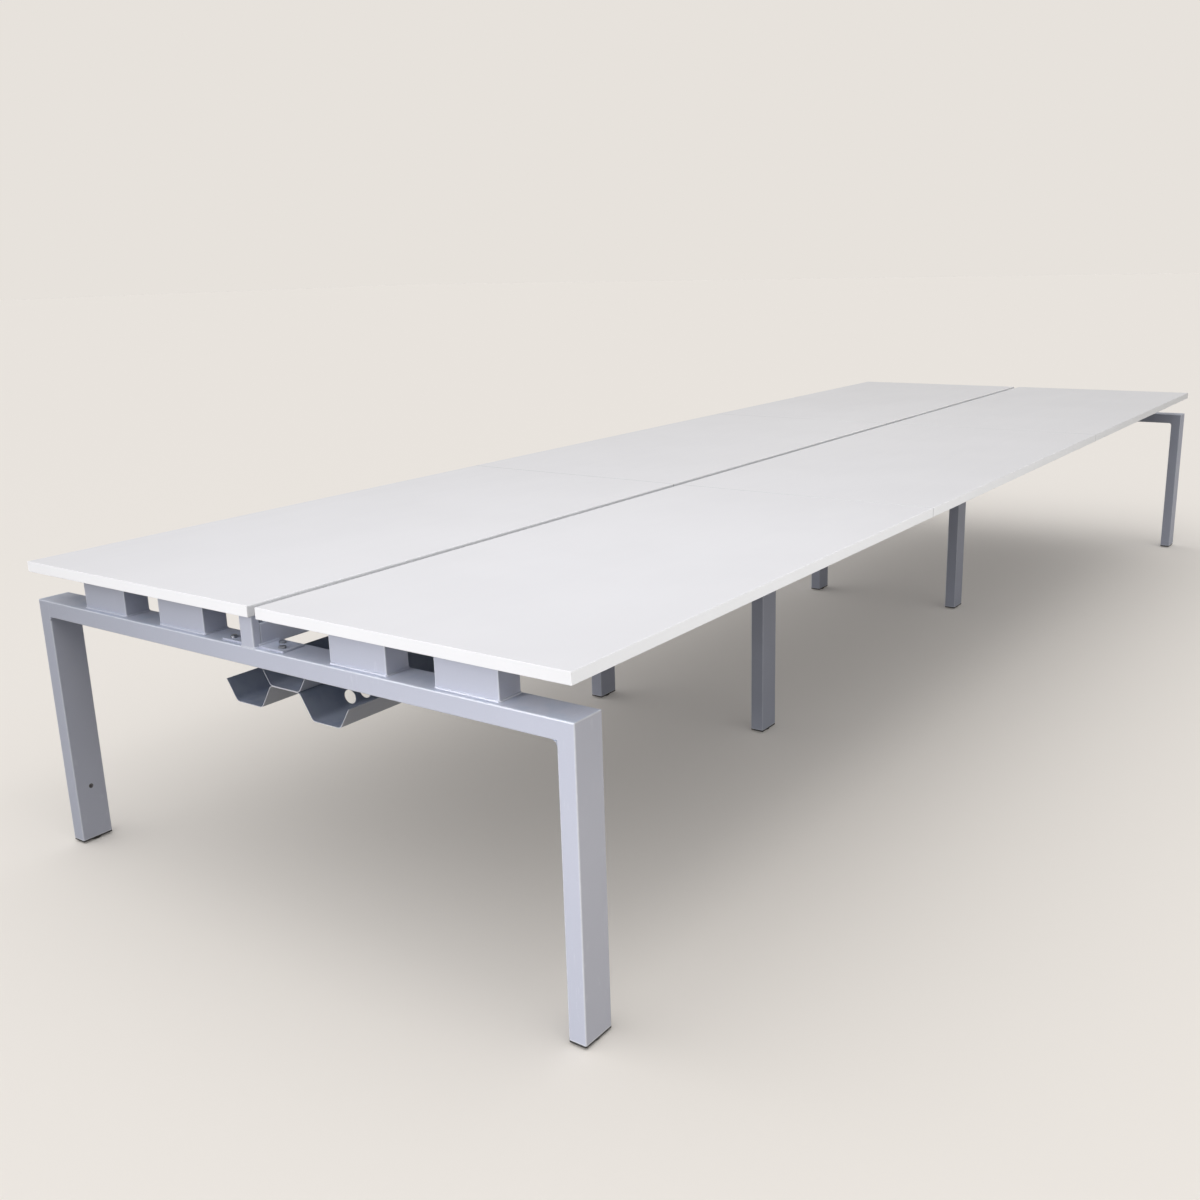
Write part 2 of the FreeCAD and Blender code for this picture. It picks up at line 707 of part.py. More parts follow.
def make_hanger():
    """Makes a strap hanger: a U whose arms lie on the spine's sides."""
    hanger = new_body("Hanger")
    rise = f"({FRAME_TOP} + Sizes.hanger_overlap - {HANGER_FLOOR})"
    outer, inner = f"({SPINE_SIDE} + Sizes.hanger_sheet)", SPINE_SIDE
    half = [(outer, "0"), (outer, rise), (inner, rise), (inner, "Sizes.hanger_sheet")]
    corners = mirrored(half)
    pad(hanger, outline(hanger, "YZ_Plane", corners), "Sizes.hanger_width")
    cut(hanger, circles(hanger, "XY_Plane", [("0", "0")], HANGER_HOLE))
    level = f"{rise} - Sizes.hanger_overlap / 2"
    cut(hanger, circles(hanger, "XZ_Plane", [("0", level)], HANGER_SCREW_HOLE))
    return hanger


def make_hangers():
    """Makes each bay's two hangers as one node."""
    hanger = make_hanger()
    for bay in BAYS:
        places = [spot(reach, "Sizes.spine_offset", HANGER_FLOOR) for reach in hanger_reaches(bay)]
        group(f"hangers_{bay}", copies(hanger, places))


def make_hanger_bolts():
    """Makes the bolts through hanger, channel and tray, with their nuts below."""
    flats, size = number("Sizes.hanger_bolt_flats"), number("Sizes.hanger_bolt")
    seat, nut = number("Sizes.hanger_sheet"), number("Sizes.hanger_nut")
    under = -2 * number("Sizes.tray_sheet")
    bore = size + number("Sizes.hole_clearance")
    head = hexagon(flats, number("Sizes.hanger_bolt_head"))
    head.translate(Vector(0, 0, seat))
    bolt = shank(size, under - nut, seat).fuse(head)
    ring = hexagon(flats, nut)
    ring.translate(Vector(0, 0, under - nut))
    ring = ring.cut(shank(bore, under - nut, under))
    solids = []
    for bay in BAYS:
        for reach in hanger_reaches(bay):
            for piece in (bolt, ring):
                solid = piece.copy()
                solid.Placement = spot(reach, "Sizes.spine_offset", HANGER_FLOOR)
                solids.append(solid)
    return group("hanger_bolts", solids)


def make_hanger_screws():
    """Makes the screws through the hangers' arms into the spine."""
    bite, height = number("Sizes.hanger_screw_bite"), number("Sizes.hanger_screw_height")
    screw = shank(number("Sizes.hanger_screw"), -bite, 0)
    screw = screw.fuse(shank(number("Sizes.hanger_screw_head"), 0, height))
    solids = []
    for bay in BAYS:
        for reach in hanger_reaches(bay):
            for side in SIDES.values():
                face = f"Sizes.spine_offset + {side} * ({SPINE_SIDE} + Sizes.hanger_sheet)"
                level = f"{FRAME_TOP} + Sizes.hanger_overlap / 2"
                tilt = Placement(Vector(), Rotation(Vector(1, 0, 0), -90 * side))
                solid = screw.copy()
                solid.Placement = spot(reach, face, level).multiply(tilt)
                solids.append(solid)
    return group("hanger_screws", solids)


# Feet


def leg_places():
    """Gives each leg's name and its place along the desk and across it."""
    places = {}
    for side, way in SIDES.items():
        for end, facing in ENDS.items():
            places[f"{end}_{side}"] = (f"{facing} * {END_FRAME}", f"{way} * {END_LEG}")
        for frame, facing in INNER.items():
            places[f"{frame}_{side}"] = (f"{facing} * {PITCH} / 2",
                                         f"{way} * Sizes.inner_leg_offset")
    return places


def make_inserts():
    """Makes the plastic insert in each leg's foot, with a bore for the stud."""
    insert = plug("Insert", "Sizes.insert_flange", "Sizes.insert_depth")
    bore = "Sizes.foot_stud / 2 + Sizes.stud_clearance"
    cut(insert, circles(insert, "XY_Plane", [("0", "0")], bore))
    places = [spot(x, y, LEG_FOOT) for x, y in leg_places().values()]
    return group("foot_inserts", copies(insert, places))


def make_foot(name, x, y):
    """Makes a levelling foot: a round pad on a threaded stud."""
    foot = new_body("Foot")
    disc = circles(foot, "XY_Plane", [("0", "0")], "Sizes.foot_pad_diameter / 2")
    pad(foot, disc, "Sizes.foot_pad_height", both_ways=False)
    round_edges(foot, lambda edge: isinstance(edge.Curve, Part.Circle), "Sizes.foot_pad_round")
    stud = circles(foot, "XY_Plane", [("0", "0")], "Sizes.foot_stud / 2")
    pad(foot, stud, "Sizes.foot_stud_length", both_ways=False)
    place(foot, x, y, "0")
    return node(foot, f"foot_{name}")


def make_rivet_nuts():
    """Makes the threaded rivet nuts in the inner faces of the end legs."""
    flange, rim = number("Sizes.rivet_flange"), number("Sizes.rivet_flange_height")
    depth, bore = number("Sizes.rivet_depth"), number("Sizes.rivet_bore")
    nut = shank(flange, 0, rim).fuse(shank(number("Sizes.rivet_body"), -depth, 0))
    nut = nut.cut(shank(bore, -depth, rim))
    solids = []
    for end in ENDS.values():
        for side in SIDES.values():
            face = f"{side} * ({END_LEG} - Sizes.tube_height / 2)"
            tilt = Placement(Vector(), Rotation(Vector(1, 0, 0), 90 * side))
            solid = nut.copy()
            solid.Placement = spot(f"{end} * {END_FRAME}", face, "Sizes.rivet_height").multiply(tilt)
            solids.append(solid)
    return group("rivet_nuts", solids)


def build():
    """Builds every piece of the desk."""
    for side in SIDES:
        for bay in BAYS:
            make_top(bay, side)
            make_edging(bay, side)
        for end in ENDS:
            make_end_leg(end, side)
        for frame in INNER:
            make_inner_leg(frame, side)
    for end in ENDS:
        make_end_beam(end)
        make_post(end)
    for frame in INNER:
        make_inner_beam(frame)
    make_corner_welds()
    make_end_caps()
    make_risers()
    make_top_screws()
    for bay in BAYS:
        make_spine(bay)
        make_tray(bay)
        make_channel(bay)
    make_lugs()
    make_lug_bolts()
    make_hangers()
    make_hanger_bolts()
    make_hanger_screws()
    make_inserts()
    for name, (x, y) in leg_places().items():
        make_foot(name, x, y)
    make_rivet_nuts()


def check():
    """Stops if an object failed or a piece has no sound shape."""
    doc.recompute()
    for item in doc.Objects:
        if "Invalid" in item.State or "Error" in item.State:
            raise ValueError(f"{item.Label} failed: {item.State}")
    for piece in nodes:
        if piece.Shape.isNull() or not piece.Shape.isValid():
            raise ValueError(f"{piece.Label} has no sound shape")


def write():
    """Writes each piece to its own file."""
    os.makedirs("parts", exist_ok=True)
    for piece in nodes:
        piece.Shape.exportStep(f"parts/{piece.Label}.step")
        print(piece.Label, len(piece.Shape.Solids), round(piece.Shape.Volume))


build()
check()
write()
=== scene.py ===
"""Dresses the bench desk: its finishes, weld beads and small hardware, and the studio it stands in."""

import logging
import math
from abc import ABC, abstractmethod
from dataclasses import dataclass
from enum import Enum, StrEnum
from typing import Iterable, Sequence

import bmesh
import bpy
from bmesh.types import BMEdge, BMesh, BMFace, BMVert
from mathutils import Matrix, Vector


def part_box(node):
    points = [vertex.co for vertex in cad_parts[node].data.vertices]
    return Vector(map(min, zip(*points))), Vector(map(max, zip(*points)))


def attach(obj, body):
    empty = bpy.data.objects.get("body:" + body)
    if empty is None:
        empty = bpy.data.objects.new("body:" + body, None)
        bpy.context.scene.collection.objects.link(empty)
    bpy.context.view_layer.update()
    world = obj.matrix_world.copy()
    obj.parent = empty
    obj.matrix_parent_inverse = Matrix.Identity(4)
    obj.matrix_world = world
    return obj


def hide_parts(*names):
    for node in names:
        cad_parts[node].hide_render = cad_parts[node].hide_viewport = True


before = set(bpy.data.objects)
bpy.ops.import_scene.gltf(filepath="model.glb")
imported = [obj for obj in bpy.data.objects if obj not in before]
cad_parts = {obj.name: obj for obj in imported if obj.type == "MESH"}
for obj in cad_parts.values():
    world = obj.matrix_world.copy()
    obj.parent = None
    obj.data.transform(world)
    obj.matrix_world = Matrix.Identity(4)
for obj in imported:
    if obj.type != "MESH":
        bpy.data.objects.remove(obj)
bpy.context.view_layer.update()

LOG = logging.getLogger("bench_desk")
MM = 0.001
DESK = "desk"
SAME_POINT = 0.005 * MM
SHARP_ANGLE = math.radians(32)
QUAD = 4

Triple = tuple[float, float, float]
Outline = Sequence[tuple[float, float]]
Material = bpy.types.Material
Node = bpy.types.Node
Socket = bpy.types.NodeSocket
Tree = bpy.types.NodeTree
Given = Socket | float | Vector | Sequence[float]

WHITE: Triple = (1.0, 1.0, 1.0)


class Slot(Enum):
    """The record's material slots of the frame, the fasteners and the feet."""

    FRAME = "frame"
    FASTENER = "fastener"
    FOOT = "foot"


class Station(StrEnum):
    """The four frames, from the near end to the far end."""

    NEAR = "near"
    SECOND = "second"
    THIRD = "third"
    FAR = "far"

    @property
    def is_end(self) -> bool:
        """Tells an end frame from an inner one."""
        return self in (Station.NEAR, Station.FAR)


class Bay(StrEnum):
    """The three bays between the frames."""

    NEAR = "near"
    MIDDLE = "middle"
    FAR = "far"


class Side(StrEnum):
    """The two rows of the desk."""

    RIGHT = "right"
    LEFT = "left"


class Kind(Enum):
    """What a socket of a shader node group carries."""

    NUMBER = "NodeSocketFloat"
    VECTOR = "NodeSocketVector"


class Effect(Enum):
    """The shader effects that the finishes share, by the names of their node groups."""

    PEEL = "orange_peel"
    FLECK = "metal_fleck"
    WEAR = "edge_wear"
    CLOUD = "clouding"
    UPWARD = "upward_faces"
    DUST_AND_SHADE = "settled_dust"
    SCUFF = "scuffs"
    RIPPLE = "weld_ripple"
    JOINT = "joint_line"


@dataclass(frozen=True)
class Block:
    """An upright box, by its lowest and highest corners."""

    low: Vector
    high: Vector

    @property
    def centre(self) -> Vector:
        """The middle of the box."""
        return (self.low + self.high) / 2

    @property
    def half(self) -> Vector:
        """Half of the box's size along each axis."""
        return (self.high - self.low) / 2


def block_of(node: str) -> Block:
    """Reads the box of a whole CAD node."""
    return Block(*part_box(node))


def solids_of(node: str) -> list[Block]:
    """Finds the box of each separate solid in a CAD node.

    Args:
        node: The node's name.

    Returns:
        One block for each solid, sorted along the desk and then across it.
    """
    bm = bmesh.new()
    bm.from_mesh(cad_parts[node].data)
    bmesh.ops.remove_doubles(bm, verts=bm.verts, dist=SAME_POINT)
    waiting = set(bm.verts)
    blocks = []
    while waiting:
        edge_of_search = [waiting.pop()]
        points = []
        while edge_of_search:
            vert = edge_of_search.pop()
            points.append(vert.co.copy())
            found = {edge.other_vert(vert) for edge in vert.link_edges} & waiting
            waiting -= found
            edge_of_search += found
        blocks.append(Block(Vector(map(min, zip(*points))), Vector(map(max, zip(*points)))))
    bm.free()
    return sorted(blocks, key=lambda block: tuple(round(c, ndigits=5) for c in block.centre))


def put_in_scene(name: str, data: bpy.types.ID) -> bpy.types.Object:
    """Makes an object of some data and links it to the scene.

    Args:
        name: The object's name.
        data: Its mesh, light or camera.

    Returns:
        The new object.
    """
    item = bpy.data.objects.new(name, data)
    bpy.context.scene.collection.objects.link(item)
    return item


def object_of(name: str, bm: BMesh, materials: Sequence[Material]) -> bpy.types.Object:
    """Turns a bmesh into an object of the scene.

    Args:
        name: Name of the object and of its mesh.
        bm: The finished shape, in place. It is freed.
        materials: The materials, in the order of the faces' indices.

    Returns:
        The new object.
    """
    mesh = bpy.data.meshes.new(name)
    bm.to_mesh(mesh)
    bm.free()
    for material in materials:
        mesh.materials.append(material)
    return put_in_scene(name, mesh)


def add_piece(name: str, bm: BMesh, body: str, materials: Sequence[Material],
              replaces: Sequence[str] = ()) -> None:
    """Turns a finished bmesh into a piece of the desk that rides on a body.

    Args:
        name: The piece's name.
        bm: The finished shape, in place. It is freed.
        body: The CAD body that carries the piece.
        materials: The piece's materials, in the order of its faces' indices.
        replaces: CAD nodes that the piece stands for.
    """
    bmesh.ops.recalc_face_normals(bm, faces=bm.faces)
    piece = object_of(name, bm, materials)
    piece.data.shade_smooth()
    piece.data.set_sharp_from_angle(angle=SHARP_ANGLE)
    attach(piece, body)
    if replaces:
        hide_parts(*replaces)
    LOG.info("%s: %d faces on %s", name, len(piece.data.polygons), body)


def dress(node: str, material: Material) -> None:
    """Gives a CAD node its finish.

    Args:
        node: The node's name.
        material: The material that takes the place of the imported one.
    """
    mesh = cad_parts[node].data
    mesh.materials.clear()
    mesh.materials.append(material)
    LOG.info("%s: dressed in %s", node, material.name)


def stamp(bm: BMesh, pattern: BMesh, places: Iterable[Matrix]) -> None:
    """Copies a pattern into a bmesh once for each place, and frees the pattern.

    Args:
        bm: The bmesh that takes the copies.
        pattern: The shape, drawn about the origin.
        places: The turn and place of each copy.
    """
    mesh = bpy.data.meshes.new("pattern")
    pattern.to_mesh(mesh)
    pattern.free()
    for place in places:
        bm.from_mesh(mesh)
        bm.verts.ensure_lookup_table()
        bmesh.ops.transform(bm, matrix=place, verts=bm.verts[-len(mesh.vertices):])
    bpy.data.meshes.remove(mesh)


def swap_fasteners(name: str, node: str, pattern: BMesh, places: Iterable[Matrix],
                   material: Material) -> None:
    """Puts copies of a finer shape in the place of a CAD node of fasteners.

    Args:
        name: Name of the new piece.
        node: The CAD node that it stands for.
        pattern: The shape of one fastener. It is freed.
        places: The turn and place of each fastener.
        material: The plating.
    """
    whole = bmesh.new()
    stamp(whole, pattern, places)
    add_piece(name, whole, DESK, [material], [node])


def in_metres(outline: Outline) -> list[tuple[float, float]]:
    """Turns an outline in millimetres into one in metres."""
    return [(radius * MM, height * MM) for radius, height in outline]


def spin_outline(bm: BMesh, outline: Outline, steps: int = 40, ring: bool = False, turns: int = 1,
                 rise: float = 0.0) -> None:
    """Spins an outline of radius and height about the Z axis.

    Args:
        bm: The bmesh that takes the shape.
        outline: Points as (radius, height).
        steps: Faces round the circle.
        ring: Joins the last point to the first, for a shape with a bore.
        turns: Whole turns.
        rise: How far the outline rises in one turn, for a thread.
    """
    verts = [bm.verts.new((radius, 0, height)) for radius, height in outline]
    pairs = list(zip(verts, verts[1:]))
    if ring:
        pairs.append((verts[-1], verts[0]))
    edges = [bm.edges.new(pair) for pair in pairs]
    bmesh.ops.spin(bm, geom=verts + edges, cent=(0, 0, 0), axis=(0, 0, 1), dvec=(0, 0, rise / steps),
                   angle=math.tau * turns, steps=steps * turns, use_merge=not rise)
    bmesh.ops.remove_doubles(bm, verts=bm.verts, dist=SAME_POINT)


def turn_out(bm: BMesh, edges: Sequence[BMEdge], outline: Outline) -> None:
    """Carries a loop of edges through rings about the Z axis, and closes the last ring.

    Args:
        bm: The bmesh that holds the loop.
        edges: The loop that the first ring grows from.
        outline: Radius and height of each ring.
    """
    for radius, height in outline:
        grown = bmesh.ops.extrude_edge_only(bm, edges=edges)["geom"]
        edges = [item for item in grown if isinstance(item, BMEdge) and item.is_boundary]
        for vert in {vert for edge in edges for vert in edge.verts}:
            turn = math.atan2(vert.co.y, vert.co.x)
            vert.co = (radius * math.cos(turn), radius * math.sin(turn), height)
    bmesh.ops.holes_fill(bm, edges=edges, sides=0)


@dataclass(frozen=True)
class Thread:
    """A screw thread about the Z axis. The land is where its crest is flat, in shares of the pitch."""

    core: float
    crest: float
    pitch: float
    steps: int = 18
    land: tuple[float, float] = (0.42, 0.58)

    def wind(self, bm: BMesh, low: float, turns: int) -> None:
        """Winds the thread as a closed shape.

        Args:
            bm: The bmesh that takes the thread.
            low: Height at which the thread starts.
            turns: Whole turns.
        """
        start, end = (low + share * self.pitch for share in self.land)
        outline = ((self.core, low), (self.crest, start), (self.crest, end),
                   (self.core, low + self.pitch))
        thread = bmesh.new()
        spin_outline(thread, outline, self.steps, turns=turns, rise=self.pitch)
        rims = [edge for edge in thread.edges if edge.is_boundary]
        bmesh.ops.holes_fill(thread, edges=rims, sides=0)
        ends = [face for face in thread.faces if len(face.verts) > QUAD]
        bmesh.ops.triangulate(thread, faces=ends)
        stamp(bm, thread, [Matrix()])


@dataclass(frozen=True)
class Hexagon:
    """A bolt head or nut with six flats. Land, inset and sink are shares of its width or bore."""

    flats: float
    height: float
    sides: int = 36
    land: float = 0.47
    inset: float = 0.02
    sink: float = 0.13
    slope: float = math.tan(math.radians(30))

    def head(self, bm: BMesh, low: float = 0.0) -> BMFace:
        """Adds a head whose corners are turned off at the top.

        Args:
            bm: The bmesh that takes the head.
            low: Height of its underside.

        Returns:
            The round face on the top.
        """
        made = bmesh.ops.create_circle(bm, cap_ends=True, radius=self.flats / 2, segments=self.sides)
        sector = math.pi / 3
        for vert in made["verts"]:
            off = (math.atan2(vert.co.y, vert.co.x) + sector / 2) % sector - sector / 2
            vert.co *= 1 / math.cos(off)
            vert.co.z = low
        base = made["verts"][0].link_faces[0]
        grown = bmesh.ops.extrude_face_region(bm, geom=[base])["geom"]
        lid = next(item for item in grown if isinstance(item, BMFace))
        land, top = self.land * self.flats, low + self.height
        for vert in (item for item in grown if isinstance(item, BMVert)):
            vert.co.z = top - (vert.co.xy.length - land) * self.slope
        bmesh.ops.inset_region(bm, faces=[lid], thickness=self.inset * self.flats, depth=0)
        for vert in lid.verts:
            vert.co = (*(vert.co.xy * (land / vert.co.xy.length)), top)
        return lid

    def nut(self, bm: BMesh, bore: float) -> None:
        """Adds a nut whose turned and countersunk face looks down, on the plane through the origin.

        Args:
            bm: The bmesh that takes the nut.
            bore: Radius of the thread in it.
        """
        nut = bmesh.new()
        lid = self.head(nut)
        sink = self.sink * bore
        ledge = self.land * self.flats - bore - sink
        bmesh.ops.inset_region(nut, faces=[lid], thickness=ledge, depth=0)
        bmesh.ops.inset_region(nut, faces=[lid], thickness=sink, depth=-2 * sink)
        stamp(bm, nut, [Matrix.Translation((0, 0, self.height)) @ Matrix.Rotation(math.pi, 4, "X")])


@dataclass(frozen=True)
class WeldBead:
    """A rippled bead of weld with rounded ends."""

    radius: float = 3.2 * MM
    pitch: float = 4.2 * MM
    sides: int = 8
    rings_per_pitch: int = 3
    ripple_depth: float = 0.13
    ripple_middle: float = 0.6
    end_taper: float = 0.6

    def lay(self, bm: BMesh, start: Vector, end: Vector) -> None:
        """Lays one bead between two points.

        Args:
            bm: The bmesh that takes the bead.
            start: One end of the joint line.
            end: The other end.
        """
        run = bmesh.new()
        length = (end - start).length
        bmesh.ops.create_cone(run, cap_ends=True, segments=self.sides, depth=length,
                              radius1=self.radius, radius2=self.radius)
        long_edges = [e for e in run.edges if abs(e.verts[0].co.z - e.verts[1].co.z) > length / 2]
        cuts = round(length / self.pitch * self.rings_per_pitch)
        bmesh.ops.subdivide_edges(run, edges=long_edges, cuts=cuts)
        for vert in run.verts:
            travel = vert.co.z + length / 2
            wave = math.sin(math.pi * travel / self.pitch) ** 2
            scale = 1 + self.ripple_depth * (wave - self.ripple_middle)
            from_end = min(1, travel / self.radius, (length - travel) / self.radius)
            scale *= math.sqrt(1 - self.end_taper * (1 - from_end) ** 2)
            vert.co.x *= scale
            vert.co.y *= scale
        turn = (end - start).to_track_quat("Z", "Y").to_matrix().to_4x4()
        stamp(bm, run, [Matrix.Translation((start + end) / 2) @ turn])


def fresh_tree(owner: bpy.types.ID) -> Tree:
    """Gives a material or a world an empty node tree.

    Args:
        owner: The material or the world.

    Returns:
        The tree.
    """
    owner.use_nodes = True
    owner.node_tree.nodes.clear()
    return owner.node_tree


class Nodes:
    """Puts shader nodes in a tree and links them."""

    def __init__(self, tree: Tree) -> None:
        """Takes the tree that the nodes go into."""
        self.tree = tree

    def add(self, kind: str, **settings: object) -> Node:
        """Adds a node.

        Args:
            kind: The node's type, without its ShaderNode prefix.
            **settings: Properties of the node.

        Returns:
            The new node.
        """
        node = self.tree.nodes.new(f"ShaderNode{kind}")
        for key, value in settings.items():
            setattr(node, key, value)
        return node

    def put(self, socket: Socket, value: Given) -> None:
        """Links a socket to another one, or sets its value.

        Args:
            socket: The input socket.
            value: An output socket, a number, a vector or a colour of three numbers.
        """
        if isinstance(value, Socket):
            self.tree.links.new(value, socket)
        elif socket.type == "RGBA":
            socket.default_value = (*value, 1.0)
        else:
            socket.default_value = value

    def give(self, node: Node, *values: Given, **named: Given) -> Node:
        """Gives a node what its inputs take.

        Args:
            node: The node.
            *values: What its first inputs take, in order.
            **named: What other inputs take, by their names.

        Returns:
            The same node.
        """
        for socket, value in zip(node.inputs, values):
            self.put(socket, value)
        for name, value in named.items():
            self.put(node.inputs[name], value)
        return node

    def math(self, operation: str, *values: Given, clamp: bool = False) -> Socket:
        """Works out one number from others."""
        node = self.add("Math", operation=operation, use_clamp=clamp)
        return self.give(node, *values).outputs[0]

    def vector(self, operation: str, *values: Given) -> Socket:
        """Works out a vector from others, or the number of a dot product."""
        node = self.give(self.add("VectorMath", operation=operation), *values)
        return node.outputs["Value" if operation == "DOT_PRODUCT" else "Vector"]

    def split(self, vector: Socket) -> Sequence[Socket]:
        """Splits a vector into its three numbers."""
        return self.give(self.add("SeparateXYZ"), vector).outputs

    def noise(self, point: Socket, scale: Given, detail: float = 2.0) -> Socket:
        """Samples smooth noise about its middle, with lumps in a metre and finer layers on them."""
        return self.give(self.add("TexNoise"), Vector=point, Scale=scale, Detail=detail).outputs[0]

    def span(self, value: Given, low: Given, high: Given, start: Given = 0.0,
             end: Given = 1.0) -> Socket:
        """Maps the range from low to high smoothly on the one from start to end, and holds it there."""
        node = self.add("MapRange", interpolation_type="SMOOTHSTEP")
        return self.give(node, value, low, high, start, end).outputs[0]

    def blend(self, factor: Given, first: Given, second: Given) -> Socket:
        """Mixes two colours.

        Args:
            factor: Share of the second colour.
            first: A colour or its socket.
            second: A colour or its socket.

        Returns:
            The socket of the mixed colour.
        """
        node = self.give(self.add("Mix", data_type="RGBA"), factor)
        colours = [socket for socket in node.inputs if socket.type == "RGBA"]
        for socket, colour in zip(colours, (first, second)):
            self.put(socket, colour)
        return next(socket for socket in node.outputs if socket.type == "RGBA")

    def effect(self, effect: Effect, **inputs: Given) -> Socket:
        """Places the node group of an effect and gives what it puts out."""
        node = self.add("Group", node_tree=bpy.data.node_groups[effect.value])
        return self.give(node, **inputs).outputs[0]

    def fold(self, point: Socket, folds: Sequence[Vector]) -> Socket:
        """Centres coordinates on the first fold, and mirrors them about each other one in turn.

        Args:
            point: The coordinates.
            folds: The first centre, and the offsets from it.

        Returns:
            The coordinates in the box that all the folded ones fall on.
        """
        local = self.vector("SUBTRACT", point, folds[0])
        for offset in folds[1:]:
            local = self.vector("SUBTRACT", self.vector("ABSOLUTE", local), offset)
        return local


class Group(Nodes):
    """The shader node group of an effect, in the making. It puts out one mask or height."""

    def __init__(self, effect: Effect, **inputs: Kind) -> None:
        """Starts the group with its sockets, which always take a point.

        Args:
            effect: The effect that the group makes.
            **inputs: Kind of each other input.
        """
        super().__init__(bpy.data.node_groups.new(effect.value, "ShaderNodeTree"))
        for label, kind in {"Point": Kind.VECTOR, **inputs}.items():
            self.tree.interface.new_socket(label, in_out="INPUT", socket_type=kind.value)
        self.tree.interface.new_socket("Mask", in_out="OUTPUT", socket_type=Kind.NUMBER.value)
        self.given = self.tree.nodes.new("NodeGroupInput").outputs
        self.point = self.given["Point"]

    def close(self, mask: Socket) -> None:
        """Links what the group puts out."""
        self.give(self.tree.nodes.new("NodeGroupOutput"), Mask=mask)


